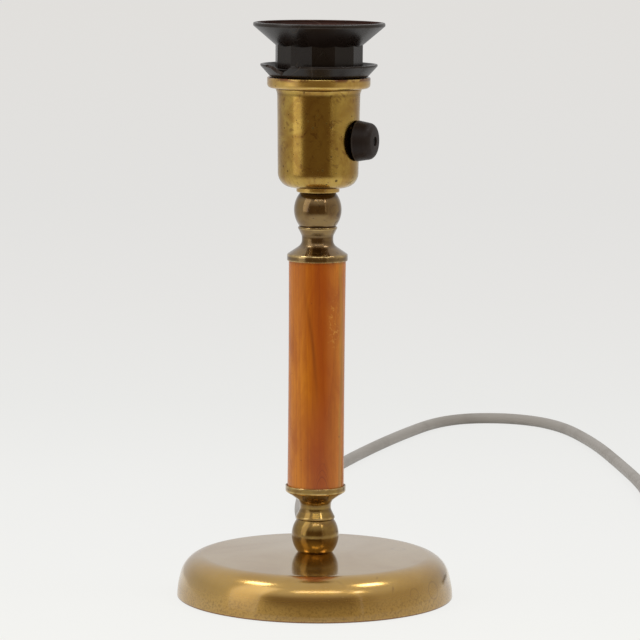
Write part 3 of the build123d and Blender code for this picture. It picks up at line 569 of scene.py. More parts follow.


# Turned and spun metal: tone clouds, spots, worn edges (on the fittings partly a painted highlight), dirty
# corners and fine turning lines
def metalFinish(name, look):
    look = withTones({**metalLook, **look})
    material, shader, spot = newFinish(name, {
        "Metallic": 1.0, "Coat Weight": look["lacquer"], "Coat Roughness": look["lacquerRough"]})
    cloud = placeGroup(stain, spot, {"Scale": look["cloudScale"], "From": 0.35, "To": 0.68})
    tone = mixTone(cloud, look["tone"], look["cloudTone"])
    marks = placeGroup(stain, spot, {"Scale": look["markScale"], "From": look["markFrom"],
                                     "To": look["markFrom"] + 0.1, "Warp": 2.0})
    tone = mixTone(marks * look["markShare"], tone, look["markTone"])
    spots = placeGroup(speckle, spot, {"Scale": look["spotScale"], "Amount": look["spotAmount"],
                                       "Patches": look["spotPatches"]})
    tone = mixTone(spots * look["spotShare"], tone, look["spotTone"])
    tone, dirt = tintRubbed(tone, spot, look, {})
    _, height = placeGroup(aroundAxis, spot)
    # bands of tone by height; on the upper fitting one is a painted shade under the holder's collar
    for band in map(withTones, look["bands"]):
        broken = placeGroup(stain, spot, {"Scale": band["scale"], "From": band["gap"],
                                          "To": band["gap"] + 0.08})
        where = spread(height, band["from"], band["to"], "SMOOTHSTEP") * broken
        tone = mixTone(where * band["share"], tone, band["tone"])
    for mark in look["marks"]:
        gone = wired(spot.tree, "ShaderNodeVectorMath", {0: spot, 1: mark["place"]}, "Value",
                     operation="DISTANCE")
        tone = mixTone(bandMask(gone, mark["radius"], mark["wide"]) * mark["share"], tone, look["markTone"])
    rough = mixValue(cloud, look["rough"], look["cloudRough"])
    rough = mixValue(spots, rough, look["spotRough"])
    rough = mixValue(dirt, rough, look["dirtRough"])
    if look["lowRough"]:
        # the lower wall has lost its polish and is finely pitted
        low = spread(height, look["lowEnd"], look["lowStart"], "SMOOTHSTEP")
        rough = mixValue(low, rough, look["lowRough"])
        grains = spread(noiseAt(spot, look["pitScale"], Roughness=0.7), 0.47, 0.66)
        tone = mixTone(grains * low * look["pitShare"], tone, look["spotTone"])
    connect(shader, {"Base Color": tone, "Roughness": rough})
    lines = placeGroup(turningLines, spot, {"Lines Per Millimetre": look["lines"]})
    below = addBump(shader, lines, look["lineStrength"], look["lineDepth"])
    addBump(shader, 1.0 - spots, look["spotDepth"], look["lineDepth"], below)
    return material


metalLook = {
    "tone": (192, 156, 86), "cloudTone": (174, 136, 68), "cloudScale": 14.0,
    "markTone": (120, 86, 52), "markScale": 42.0, "markFrom": 0.66, "markShare": 0.5,
    "spotTone": (70, 46, 24), "spotScale": 700.0, "spotAmount": 0.5, "spotPatches": 30.0, "spotShare": 0.6,
    "wornAndGlintTone": (236, 205, 140), "wear": 0.5, "dirtTone": (60, 38, 20), "dirt": 0.7,
    "rough": 0.16, "cloudRough": 0.24, "spotRough": 0.6, "dirtRough": 0.75, "spotDepth": 0.25,
    "lines": 6.0, "lineStrength": 0.12, "lineDepth": 0.00005, "lacquer": 0.5, "lacquerRough": 0.08,
    "lowRough": 0.0, "lowEnd": 13.0, "lowStart": 5.0, "pitScale": 900.0, "pitShare": 0.36,
    "bands": [], "marks": [],  # heights in millimetres, places in metres
}
footMarks = [
    {"place": (0.0426, 0.013, 0.0222), "radius": 0.0034, "wide": 0.0008, "share": 0.6},
    {"place": (-0.0554, -0.037, 0.0195), "radius": 0.0019, "wide": 0.0007, "share": 0.8},
    {"place": (0.0602, -0.0352, 0.0105), "radius": 0.0046, "wide": 0.0006, "share": 0.4},
    {"place": (0.05, -0.048, 0.011), "radius": 0.003, "wide": 0.0005, "share": 0.3},
    {"place": (0.0665, -0.017, 0.013), "radius": 0.0, "wide": 0.009, "share": 0.6},
]
footBand = {"from": 1.5, "to": 0.7, "tone": (112, 66, 40), "share": 0.85, "scale": 20.0, "gap": 0.1}
# painted shade: the upper fitting's neck turns deep brown just under the holder's collar
collarShadeBand = {"from": 202.2, "to": 205.2, "tone": (44, 20, 8), "share": 0.95, "scale": 20.0, "gap": 0.1}
ringBand = {"from": 261.4, "to": 263.3, "tone": (104, 50, 28), "share": 0.9, "scale": 62.0, "gap": 0.47}
footBrass = metalFinish("footBrass", {
    "tone": (186, 151, 84), "lacquer": 0.75, "spotAmount": 0.3, "lowRough": 0.42, "bands": [footBand],
    "marks": footMarks})
# on both fittings the pale cream worn edges, set a little stronger, are part real wear and part painted
# highlight on the beads and rims
lowerBrass = metalFinish("lowerFittingBrass", {
    "tone": (150, 120, 56), "cloudTone": (122, 90, 38), "cloudScale": 90.0, "markTone": (70, 48, 26),
    "markScale": 120.0, "markFrom": 0.6, "spotScale": 900.0, "spotAmount": 0.75, "rough": 0.08,
    "cloudRough": 0.16, "lineStrength": 0.28, "wear": 0.55})
upperBrass = metalFinish("upperFittingBrass", {
    "tone": (134, 109, 67), "cloudTone": (110, 83, 48), "cloudScale": 70.0, "markTone": (66, 44, 30),
    "markScale": 110.0, "markFrom": 0.58, "spotScale": 900.0, "rough": 0.07, "cloudRough": 0.13,
    "lineStrength": 0.22, "wear": 0.6, "bands": [collarShadeBand]})
holderBrass = metalFinish("holderBrass", {
    "tone": (179, 148, 72), "cloudTone": (154, 117, 52), "cloudScale": 70.0, "markTone": (110, 70, 34),
    "markScale": 150.0, "markFrom": 0.56, "spotScale": 420.0, "spotPatches": 90.0, "spotShare": 0.7,
    "rough": 0.14, "lines": 9.0, "lineStrength": 0.3, "lacquer": 0.2})
ringBrass = metalFinish("topRingBrass", {
    "tone": (202, 168, 86), "cloudTone": (178, 138, 66), "cloudScale": 60.0, "markTone": (128, 62, 34),
    "markScale": 70.0, "wear": 0.3, "bands": [ringBand], "dirtTone": (96, 44, 26), "rough": 0.3,
    "cloudRough": 0.38, "lines": 9.0, "lineStrength": 0.25})
contactBrass = metalFinish("contactBrass", {
    "tone": (226, 200, 132), "cloudTone": (200, 166, 96), "spotAmount": 0.3, "lineStrength": 0.05})
steel = metalFinish("zincSteel", {
    "tone": (190, 190, 186), "cloudTone": (164, 163, 158), "markTone": (120, 104, 84),
    "wornAndGlintTone": (215, 215, 212), "spotTone": (90, 72, 52), "spotShare": 0.4, "rough": 0.32,
    "cloudRough": 0.42})
# a near-black tone for the screw sunk in the knob's recess
darkSteel = metalFinish("darkKnobScrewSteel", {
    "tone": (62, 58, 54), "cloudTone": (44, 40, 37), "markTone": (60, 44, 34), "wornAndGlintTone": (96, 92, 88),
    "lacquer": 0.0, "rough": 0.45, "cloudRough": 0.55})
nickel = metalFinish("pinNickel", {
    "tone": (214, 211, 203), "cloudTone": (198, 195, 186), "markTone": (150, 146, 138),
    "wornAndGlintTone": (226, 224, 218), "spotTone": (110, 104, 96), "spotShare": 0.3, "cloudRough": 0.22})
castIron = metalFinish("castIron", {
    "tone": (84, 82, 80), "cloudTone": (66, 62, 60), "markTone": (92, 58, 40), "spotShare": 0.8,
    "wornAndGlintTone": (120, 118, 114), "rough": 0.62, "cloudRough": 0.75, "lines": 1.0, "lineStrength": 0.6})


# Pressed dark mouldings
def mouldedFinish(name, look):
    look = withTones({**bakeliteLook, **look})
    material, shader, spot = newFinish(name, {"Specular IOR Level": look["gloss"], "IOR": 1.55})
    cloud = placeGroup(stain, spot, {"Scale": look["cloudScale"], "From": 0.35, "To": 0.7})
    tone = mixTone(cloud, look["tone"], look["cloudTone"])
    tone, _ = tintRubbed(tone, spot, look, {"Scale": look["wearScale"]})
    marks = placeGroup(scratches, spot, {"Scale": look["scratchScale"], "Amount": look["scratchAmount"]})
    tone = mixTone(marks, tone, look["scratchTone"])
    dust = placeGroup(speckle, spot, {"Scale": look["dustScale"], "Amount": look["dust"], "Patches": 80.0})
    tone = mixTone(dust * look["dustShare"], tone, look["dustTone"])
    rough = mixValue(marks, mixValue(cloud, look["rough"], look["cloudRough"]), look["scratchRough"])
    connect(shader, {"Base Color": tone, "Roughness": rough})
    below = addBump(shader, noiseAt(spot, look["peelScale"], 3.0), look["peel"], look["peelDepth"])
    addBump(shader, 1.0 - marks, look["scratchStrength"], look["scratchDepth"], below)
    return material


bakeliteLook = {
    "tone": (25, 18, 14), "cloudTone": (30, 22, 18), "cloudScale": 45.0,
    "wornAndGlintTone": (78, 70, 64), "wear": 0.25, "wearScale": 180.0, "dirtTone": (24, 18, 14), "dirt": 0.2,
    "scratchTone": (84, 72, 62), "scratchScale": 70.0, "scratchAmount": 0.35, "scratchRough": 0.6,
    "scratchStrength": 0.3, "scratchDepth": 0.00008,
    "dust": 0.15, "dustScale": 1400.0, "dustShare": 0.5, "dustTone": (110, 100, 90), "rough": 0.22,
    "cloudRough": 0.32, "peel": 0.1, "peelScale": 500.0, "peelDepth": 0.0001, "gloss": 0.24,
}
ringBakelite = mouldedFinish("ringBakelite", {})
# the knob's paler worn edges are part wear and part painted highlight along its front edge
knobBakelite = mouldedFinish("knobBakelite", {
    "tone": (32, 24, 20), "cloudTone": (40, 30, 26), "rough": 0.4, "cloudRough": 0.5, "gloss": 0.12,
    "wear": 0.3})
ringInside = mouldedFinish("ringInside", {
    "tone": (62, 34, 26), "cloudTone": (48, 28, 22), "rough": 0.5, "cloudRough": 0.6, "gloss": 0.12,
    "scratchAmount": 0.8, "scratchTone": (120, 96, 84)})
barrelBakelite = mouldedFinish("barrelBakelite", {
    "tone": (38, 32, 28), "cloudTone": (52, 40, 32), "rough": 0.38, "scratchAmount": 0.2})
tieWeave = mouldedFinish("tieStrap", {
    "tone": (30, 30, 30), "cloudTone": (38, 38, 38), "rough": 0.6, "cloudRough": 0.7, "peel": 0.8})


# Grainy matt finishes: the freshly broken moulding in the chip, and felt
def grainyFinish(name, settings, look):
    look = withTones(look)
    material, shader, spot = newFinish(name, settings)
    grain = noiseAt(spot, look["scale"], 5.0, Roughness=look["harshness"])
    connect(shader, {"Base Color": mixTone(grain, look["darkTone"], look["lightTone"])})
    addBump(shader, grain, look["strength"], look["depth"])
    return material


brokenMoulding = grainyFinish("brokenMoulding", {"Roughness": 0.75}, {
    "darkTone": (20, 14, 11), "lightTone": (74, 58, 48), "scale": 900.0, "harshness": 0.7, "strength": 0.7,
    "depth": 0.0003})
footFelt = grainyFinish("footFelt", {"Roughness": 0.95, "Sheen Weight": 0.4}, {
    "darkTone": (24, 44, 34), "lightTone": (62, 92, 72), "scale": 1300.0, "harshness": 0.75, "strength": 0.8,
    "depth": 0.0004})


# Lacquered wood: growth layers cut lengthwise, pores along the grain and a clear coat. Lengths in metres.
woodLook = {
    "tone": (206, 124, 20), "darkTone": (166, 84, 8), "redTone": (156, 64, 4), "poreTone": (104, 44, 6),
    "oliveTone": (176, 124, 26), "fleckTone": (214, 150, 62), "cloudScale": 75.0, "cloudShare": 0.75,
    # growth layers round a heart that lies outside the column
    "heartX": -0.0265, "heartY": 0.061, "layers": 520.0, "layerLean": 0.012, "layerWaver": 0.0045,
    "ringShape": 1.6, "ringShare": 0.2, "swayScale": 42.0,
    # redder wood that wanders up the front, and a paler strip beside it
    "redMiddle": 0.0012, "redWide": 0.012, "redShare": 0.8, "redSway": 0.011,
    "oliveX": 0.0124, "oliveWide": 0.0016, "oliveShare": 0.6,
    # a dark grain line down the front, straight low down and leaning aside higher up
    "lineX": -0.0006, "lineTop": 0.172, "lineBend": 0.1, "lineLow": 0.084, "lineSlope": 1.75,
    "lineWide": 0.0015, "lineSway": 0.004, "lineShare": 0.42,
    # nested arches low on the front, where the layers run out at the surface
    "archX": 0.0032, "archZ": 0.0635, "archTall": 670.0, "archFade": 0.013, "archPitch": 0.0034,
    "archStart": 0.0004, "archShare": 0.5,
    # pale flecks on the upper right: middle and half size
    "fleckX": 0.0087, "fleckZ": 0.1405, "fleckWide": 0.0048, "fleckTall": 0.019, "fleckScale": 480.0,
    "poreShare": 0.2, "dotShare": 0.6, "rough": 0.5, "roughDown": 0.06, "roughUp": 0.1, "coat": 0.6,
    "fibreStrength": 0.1, "lines": 1.5, "lineStrength": 0.08, "depth": 0.0001,
}


def stretched(vector, share):
    # the same pattern drawn out along the column
    return wired(vector.tree, "ShaderNodeMapping", {"Vector": vector, "Scale": (1.0, 1.0, share)})


def woodFinish(look):
    look = withTones(look)
    material, shader, spot = newFinish("columnWood", {
        "Specular IOR Level": 0.08, "Coat Roughness": 0.05, "Coat IOR": 1.5, "Coat Weight": look["coat"]})
    x, y, z = separate(spot)
    loose = stretched(spot, 0.3)
    sway = noiseAt(loose, look["swayScale"], 3.0) - 0.5
    fibres = noiseAt(stretched(spot, 0.03), 800.0, 4.0, Roughness=0.65)
    across, deep = x - look["heartX"], y - look["heartY"]
    layer = z * look["layerLean"] + calc("SQRT", across * across + deep * deep)
    layer = layer + noiseAt(stretched(spot, 0.045), 70.0) * look["layerWaver"]
    rings = calc("POWER", calc("FRACT", layer * look["layers"]), look["ringShape"])
    cloud = placeGroup(stain, loose, {"Scale": look["cloudScale"], "From": 0.36, "To": 0.7})
    tone = mixTone(cloud * look["cloudShare"], look["tone"], look["darkTone"])
    tone = mixTone(rings * look["ringShare"], tone, look["poreTone"])
    swayed = sway * look["redSway"] + x
    red = bandMask(swayed, look["redMiddle"], look["redWide"]) * look["redShare"]
    olive = bandMask(swayed, look["oliveX"], look["oliveWide"]) * look["oliveShare"]
    tone = mixTone(olive, mixTone(red, tone, look["redTone"]), look["oliveTone"])
    rise = calc("MAXIMUM", z - look["lineBend"], 0.0)
    wavy = sway * look["lineSway"] + (x + rise * rise * look["lineSlope"])
    middle, half = (look["lineTop"] + look["lineLow"]) / 2, (look["lineTop"] - look["lineLow"]) / 2
    dark = bandMask(wavy, look["lineX"], look["lineWide"]) * bandMask(z, middle, half) * look["lineShare"]
    beside = x - look["archX"]
    depth = beside * beside * look["archTall"] + (z - look["archZ"])
    ripple = calc("FRACT", (depth + look["archStart"]) / look["archPitch"])
    arch = spread(ripple, 0.35, 0.05) * spread(depth, look["archFade"], 0.0)
    arch = arch * calc("GREATER_THAN", depth, -look["archStart"])
    dark = calc("MAXIMUM", dark, arch * look["archShare"])
    dark = calc("MAXIMUM", dark, spread(fibres, 0.52, 0.7) * look["poreShare"])
    flecks = spread(noiseAt(spot, look["fleckScale"], 3.0, Roughness=0.7, Distortion=1.2), 0.54, 0.66)
    flaked = bandMask(x, look["fleckX"], look["fleckWide"]) * bandMask(z, look["fleckZ"], look["fleckTall"])
    tone = mixTone(flaked * flecks, tone, look["fleckTone"])
    dots = placeGroup(speckle, spot, {"Scale": 420.0, "Amount": 0.34, "Patches": 70.0})
    tone = mixTone(calc("MAXIMUM", dark, dots * look["dotShare"]), tone, look["poreTone"])
    rough = mixValue(fibres, look["rough"] - look["roughDown"], look["rough"] + look["roughUp"])
    connect(shader, {"Base Color": tone, "Roughness": rough})
    below = addBump(shader, fibres, look["fibreStrength"], look["depth"])
    lines = placeGroup(turningLines, spot, {"Lines Per Millimetre": look["lines"]})
    addBump(shader, lines, look["lineStrength"], look["depth"], below)
    return material


columnWood = woodFinish(woodLook)


# Soft sheaths of the lead and its cores, and the moulded plug
def sheathFinish(name, tone, dirtTone, rough, grain):
    tone, dirtTone = linear(*tone), linear(*dirtTone)
    material, shader, spot = newFinish(name, {})
    cloud = placeGroup(stain, spot, {"Scale": 25.0, "From": 0.4, "To": 0.8})
    spots = placeGroup(speckle, spot, {"Scale": 700.0, "Amount": 0.3, "Patches": 60.0})
    colour = mixTone(spots * 0.3, mixTone(cloud * 0.4, tone, dirtTone), dirtTone)
    connect(shader, {"Base Color": colour, "Roughness": mixValue(cloud, rough, rough + 0.12)})
    addBump(shader, noiseAt(spot, 1500.0), grain, 0.0001)
    return material


leadSheath = sheathFinish("leadSheath", (158, 153, 147), (120, 114, 106), 0.45, 0.1)
plugMoulding = sheathFinish("plugMoulding", (166, 163, 158), (118, 113, 106), 0.5, 0.35)
liveSheath = sheathFinish("liveCore", (104, 62, 38), (70, 42, 26), 0.4, 0.05)
neutralSheath = sheathFinish("neutralCore", (52, 92, 160), (36, 62, 110), 0.4, 0.05)


# Earth core: green sheath with a yellow stripe
def earthFinish():
    material, shader, spot = newFinish("earthCore", {"Roughness": 0.4})
    wave = wired(spot.tree, "ShaderNodeTexWave", {"Vector": spot, "Scale": 160.0}, 1, wave_type="BANDS",
                 bands_direction="DIAGONAL")
    tone = mixTone(spread(wave, 0.45, 0.55), linear(46, 122, 58), linear(226, 200, 62))
    connect(shader, {"Base Color": tone})
    return material


earthSheath = earthFinish()
print("finishes ready")

# Foot, spun from sheet
foot = {"radius": 70.0, "height": 22.7, "wall": 1.0, "rimLift": 0.4, "rimRound": 0.35,
        "shoulderRadius": 12.8, "shoulderInset": 14.2, "wallAngle": 15.5, "domeAngle": 1.4,
        "padRadius": 10.0, "bore": 5.3, "domeSteps": 12, "shoulderSteps": 28, "wallSteps": 12, "lipSteps": 9}


def footSkin(foot, inset):
    dome, lean = math.radians(foot["domeAngle"]), math.radians(foot["wallAngle"])
    across = foot["radius"] - foot["shoulderInset"]
    reach = across + foot["shoulderRadius"] * math.sin(dome) - foot["padRadius"]
    up = foot["height"] - reach * math.tan(dome) - foot["shoulderRadius"] * math.cos(dome)
    bend = foot["shoulderRadius"] - inset

    def onShoulder(share):
        angle = math.pi / 2 - dome + (lean - math.pi / 2 + dome) * share
        return (across + bend * math.cos(angle), up + bend * math.sin(angle))

    crest, brow = onShoulder(0.0), onShoulder(1.0)
    rim = (foot["radius"] - inset, foot["rimLift"] + foot["rimRound"])
    pad = (foot["padRadius"], foot["height"] - inset)
    count = foot["domeSteps"]
    points = [(pad[0] + (crest[0] - pad[0]) * s / count, pad[1] + (crest[1] - pad[1]) * s / count)
              for s in range(count)]
    points += [onShoulder(step / foot["shoulderSteps"]) for step in range(foot["shoulderSteps"] + 1)]
    points += arcAfter(brow, (math.sin(lean), -math.cos(lean)), rim, foot["wallSteps"])
    return points + [rim]


def makeFoot(foot):
    outer, inner = ([(x, z, 0.0) for x, z in footSkin(foot, inset)] for inset in (0.0, foot["wall"]))
    half, bend, steps = foot["wall"] / 2, foot["rimRound"], foot["lipSteps"]
    lip = []
    for step in range(1, steps):
        angle = math.pi * step / steps
        lip.append((foot["radius"] - half + half * math.cos(angle),
                    foot["rimLift"] + bend - bend * math.sin(angle), 1.0))
    outer[-1] = (*outer[-1][:2], 1.0)
    inner[-1] = (*inner[-1][:2], 1.0)
    points = [(foot["bore"], foot["height"], 0.0)] + outer + lip + inner[::-1]
    points.append((foot["bore"], foot["height"] - foot["wall"], 0.0))
    return turnPiece("footShell", points[::-1], 0.0, footBrass, 256)


# Fitting between foot, column and holder, turned from bar
fitting = {"length": 34.5, "rim": 15.3, "rimHeight": 3.0, "rimRound": 0.4, "rimTurn": 1.5, "cup": 14.75,
           "cupDepth": 2.0, "step": 0.5, "stepRound": 0.15, "coneAngle": 56.0, "waist": 7.9, "cove": 6.6,
           "waistEnd": 12.4, "throat": 3.0, "bead": 9.9, "beadStart": 16.3, "beadStartRound": 0.4,
           "beadEnd": 16.9, "beadEndRound": 0.25, "groove": 9.2, "groovePlace": 17.3, "grooveRound": 0.1,
           "ball": 12.0, "ballPlace": 25.6, "ballSteps": 40, "neck": 8.7, "neckRound": 0.15, "bore": 5.3}


def makeFittings(fitting):
    coneStart = fitting["rimHeight"] + fitting["step"]
    coneAcross = fitting["rim"] - fitting["step"]
    coneEnd = coneStart + (coneAcross - fitting["waist"]) / math.tan(math.radians(fitting["coneAngle"]))
    groove = (fitting["groove"], fitting["groovePlace"])
    neck = (fitting["neck"], fitting["length"])
    ball = arcThrough(groove, (fitting["ball"], fitting["ballPlace"]), neck, fitting["ballSteps"])
    points = roundedOutline([
        (fitting["bore"], fitting["cupDepth"], 0.0),
        (fitting["cup"], fitting["cupDepth"], 0.0),
        (fitting["cup"], 0.0, 0.0),
        (fitting["rim"], 0.0, fitting["rimRound"]),
        (fitting["rim"], fitting["rimHeight"], fitting["rimTurn"]),
        (coneAcross, coneStart, fitting["stepRound"]),
        (fitting["waist"], coneEnd, fitting["cove"]),
        (fitting["waist"], fitting["waistEnd"], fitting["throat"]),
        (fitting["bead"], fitting["beadStart"], fitting["beadStartRound"]),
        (fitting["bead"], fitting["beadEnd"], fitting["beadEndRound"]),
        (*groove, fitting["grooveRound"]),
        *((x, z, None) for x, z in ball),
        (*neck, fitting["neckRound"]),
        (fitting["bore"], fitting["length"], 0.0),
    ])
    flipped = [(x, fitting["length"] - z, stand) for x, z, stand in points][::-1]
    return (turnPiece("upperFitting", points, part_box("upper_fitting")[0].z, upperBrass),
            turnPiece("lowerFitting", flipped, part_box("lower_fitting")[0].z, lowerBrass))


# Column, turned with a slight waist
column = {"foot": 14.3, "waist": 14.15, "head": 14.4, "bore": 5.5, "edge": 0.3, "steps": 24}


def makeColumn(column):
    low, high = (corner.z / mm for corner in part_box("wood_column"))
    tall = high - low
    side = arcThrough((column["foot"], 0.0), (column["waist"], tall / 2), (column["head"], tall),
                      column["steps"])
    return turnCorners("woodColumn", "wood_column", [
        (column["bore"], 0.0, 0.0),
        (column["foot"], 0.0, column["edge"]),
        *((x, z, None) for x, z in side),
        (column["head"], tall, column["edge"]),
        (column["bore"], tall, 0.0),
    ], columnWood, 192)


# Holder: collar, shell, top ring and the two shade rings
collar = {"radius": 10.8, "round": 0.5, "bore": 5.3, "height": 2.4}
shell = {"wall": 0.9, "corner": 8.0, "low": 20.15, "high": 20.8, "height": 49.3, "flareHeight": 1.9,
         "flareRound": 2.75, "lip": 21.55, "lipHeight": 0.4, "edge": 0.15, "neck": 20.95, "neckHeight": 3.1,
         "bore": 5.3}
topRing = {"radius": 25.85, "height": 5.5, "round": 2.0, "edge": 0.6, "web": 1.4, "bore": 21.15, "hole": 20.1}
lowerRing = {"bore": 19.98, "foot": 24.5, "rim": 29.3, "height": 6.2, "wall": 1.4, "rimHeight": 0.9,
             "floor": 1.5, "hub": 22.6, "hubHeight": 4.1, "edge": 0.3}
upperRing = {"bore": 19.98, "sides": 12, "neck": 22.1, "neckAngle": 20.8, "neckHeight": 11.5, "height": 22.5,
             "coneAngle": 49.5, "wall": 1.7, "lip": 33.0, "lipRound": 1.2, "lipWall": 2.3, "join": -0.5,
             "segmentsPerSide": 30, "rows": [0.0, 0.02, 0.04, 0.5, 0.9, 0.97, 1.0], "insideFrom": 0.6,
             "sharp": 24.0}


def makeCollar(collar):
    return turnCorners("holderCollar", "holder_collar", [
        (collar["bore"], 0.0, 0.0),
        (collar["radius"], 0.0, collar["round"]),
        (collar["radius"], collar["height"], collar["round"]),
        (collar["bore"], collar["height"], 0.0),
    ], ringBrass, 160)


def makeShell(shell):
    end, wall = shell["height"], shell["wall"]
    lip = end - shell["lipHeight"]
    start = lip - shell["flareHeight"]
    top = end + shell["neckHeight"]
    return turnCorners("holderShell", "holder_shell", [
        (shell["bore"], 0.0, 0.0),
        (shell["low"], 0.0, shell["corner"]),
        (shell["high"], start, shell["flareRound"]),
        (shell["lip"], lip, shell["edge"]),
        (shell["lip"], end, 0.12),
        (shell["neck"], end, shell["edge"]),
        (shell["neck"], top, 0.1),
        (shell["neck"] - wall, top, 0.1),
        (shell["neck"] - wall, end, 0.0),
        (shell["high"] - wall, start, 0.0),
        (shell["low"] - wall, wall, shell["corner"] - wall),
        (shell["bore"], wall, 0.0),
    ], holderBrass, 224)


def makeTopRing(ring):
    low = ring["height"] - ring["web"]
    return turnCorners("holderTopRing", "holder_top_ring", [
        (ring["bore"], 0.0, 0.1),
        (ring["radius"], 0.0, ring["round"]),
        (ring["radius"], ring["height"], ring["edge"]),
        (ring["hole"], ring["height"], 0.1),
        (ring["hole"], low, 0.0),
        (ring["bore"], low, 0.0),
    ], ringBrass, 224)


def makeLowerRing(ring):
    rim, wall, edge = ring["height"], ring["wall"], ring["edge"]
    return turnCorners("lowerShadeRing", "lower_shade_ring", [
        (ring["bore"], 0.0, 0.2),
        (ring["foot"], 0.0, wall / 2),
        (ring["rim"], rim - ring["rimHeight"], wall / 4),
        (ring["rim"], rim, wall / 4),
        (ring["rim"] - wall, rim, wall / 4),
        (ring["foot"] - wall, ring["floor"], 0.5),
        (ring["hub"], ring["floor"], edge),
        (ring["hub"], ring["hubHeight"], edge),
        (ring["bore"], ring["hubHeight"], 0.2),
    ], ringBakelite, 256)


def makeUpperRing(ring):
    lean = math.radians(ring["coneAngle"])
    wallUp = ring["wall"] / math.sin(lean)
    innerLip = ring["lip"] - ring["lipWall"]
    bend, top = ring["lipRound"], ring["neckHeight"]

    def coneUp(across):
        return top + (across - ring["neck"]) / math.tan(lean)

    points = roundedOutline([
        (ring["bore"], 0.0, 0.2),
        *((ring["neck"], top * share, None) for share in ring["rows"]),
        (ring["lip"], coneUp(ring["lip"]), bend / 2),
        (ring["lip"], ring["height"], bend),
        (innerLip, ring["height"], bend / 3),
        (innerLip, coneUp(innerLip) + wallUp, 0.6),
        (ring["bore"], coneUp(ring["bore"]) + wallUp, 0.3),
    ])
    neck = [z / top if abs(x - ring["neck"]) < tiny and z < top + tiny else -1.0 for x, z, _ in points]
    points = [(x, z, ring["join"] if share == 1.0 else stand) for (x, z, stand), share in zip(points, neck)]
    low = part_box("upper_shade_ring")[0].z
    piece = turnPiece("upperShadeRing", points, low, ringBakelite, ring["segmentsPerSide"] * ring["sides"],
                      neck=neck)
    runTree(piece, neckShape, {
        "Sides": ring["sides"], "Corner Radius": ring["neck"] * mm,
        "Corner Angle": math.radians(ring["neckAngle"]), "Bottom": low, "Neck Height": top * mm,
        "Cone Rise": 1 / math.tan(lean), "Finish": ringBakelite})
    cleanMesh(piece, ring["sharp"])
    # the dish's inside has never been polished
    piece.data.materials.append(ringInside)
    limit = (ring["bore"] + ring["insideFrom"]) * mm
    for face in piece.data.polygons:
        outward = face.normal.x * face.center.x + face.normal.y * face.center.y
        if outward < 0 and math.hypot(face.center.x, face.center.y) > limit:
            face.material_index = 1
    return piece


# A splinter that broke out of the lower ring's wall at the front left. Each corner of the
# fracture: plan angle, height under the rim on the wall's outer face and on its inner face.
chip = {
    "corners": [(-156.2, -0.5, 0.3), (-154.2, 1.1, 0.0), (-146.2, 1.5, 0.2), (-143.6, 3.3, 1.5),
                (-138.2, 4.1, 2.9), (-134.7, 4.8, 4.2), (-128.4, 2.9, 2.5), (-116.4, -0.3, -0.1)],
    "inside": 22.9, "outside": 31.0, "clear": 9.0, "sharp": 20.0,
}


def chipTool(chip, ring):
    # one flat facet between each two corners of the fracture, and open air above it
    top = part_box("lower_shade_ring")[1].z / mm
    slope = (ring["rim"] - ring["foot"]) / (ring["height"] - ring["rimHeight"])
    thick = ring["wall"] * math.hypot(slope, 1)
    spots = []
    for turn, outerDrop, innerDrop in chip["corners"]:
        outer = min(ring["rim"], ring["rim"] - slope * (outerDrop - ring["rimHeight"]))
        rise = (outerDrop - innerDrop) / thick
        low = top - outerDrop - rise * (chip["outside"] - outer)
        high = top - outerDrop + rise * (outer - chip["inside"])
        c, s = math.cos(math.radians(turn)), math.sin(math.radians(turn))
        for side, up in (("outside", low), ("inside", high), ("inside", top + chip["clear"]),
                         ("outside", top + chip["clear"])):
            spots.append((chip[side] * c * mm, chip[side] * s * mm, up * mm))
    last = len(chip["corners"]) - 1
    faces = [(3, 2, 1, 0), tuple(4 * last + side for side in range(4))]
    for index in range(last):
        for side in range(4):
            a, b = 4 * index + side, 4 * index + (side + 1) % 4
            faces += [(a, b, b + 4), (a, b + 4, a + 4)]
    mesh = bpy.data.meshes.new("chipTool")
    mesh.from_pydata(spots, [], faces)
    mesh.materials.append(brokenMoulding)
    return cleanMesh(newObject("chipTool", mesh))


def breakRim(piece, chip, ring):
    tool = chipTool(chip, ring)
    cut = piece.modifiers.new("chip", "BOOLEAN")
    cut.object = tool
    cut.operation = "DIFFERENCE"
    cut.solver = "EXACT"
    cut.material_mode = "TRANSFER"  # the cut faces take the tool's finish
    settle(piece)
    bpy.data.objects.remove(tool)
    piece.data.set_sharp_from_angle(angle=math.radians(chip["sharp"]))
    return piece


footShell = makeFoot(foot)
upperFitting, lowerFitting = makeFittings(fitting)
woodColumn = makeColumn(column)
holderCollar = makeCollar(collar)
holderShell = makeShell(shell)
holderTopRing = makeTopRing(topRing)
lowerShadeRing = breakRim(makeLowerRing(lowerRing), chip, lowerRing)
upperShadeRing = makeUpperRing(upperRing)
print("turned pieces made")

# Rotary knob, whose axis runs out of the holder's side
knob = {"angle": -21.0, "height": 232.4, "start": 20.95, "length": 9.05, "back": 10.3, "front": 8.7,
        "edge": 3.5, "backRound": 0.5, "dome": 0.4, "recess": 2.4, "recessRound": 0.3, "webEnd": 7.25,
        "webStart": 6.05, "bore": 2.53, "screwBore": 1.26}


def makeKnob(knob):
    front = knob["length"]
    turn = Matrix.Rotation(math.radians(knob["angle"]), 4, "Z") @ Matrix.Rotation(math.radians(90), 4, "Y")
    place = Matrix.Translation((0, 0, knob["height"] * mm)) @ turn
    points = roundedOutline([
        (knob["bore"], 0.0, 0.1),
        (knob["back"], 0.0, knob["backRound"]),
        (knob["front"], front, knob["edge"]),
        (knob["recess"], front + knob["dome"], knob["recessRound"]),
        (knob["recess"], knob["webEnd"], 0.1),
        (knob["screwBore"], knob["webEnd"], 0.0),
        (knob["screwBore"], knob["webStart"], 0.0),
        (knob["bore"], knob["webStart"], 0.0),
    ])
    return turnPiece("switchKnob", points, knob["start"] * mm, knobBakelite, 160, place)


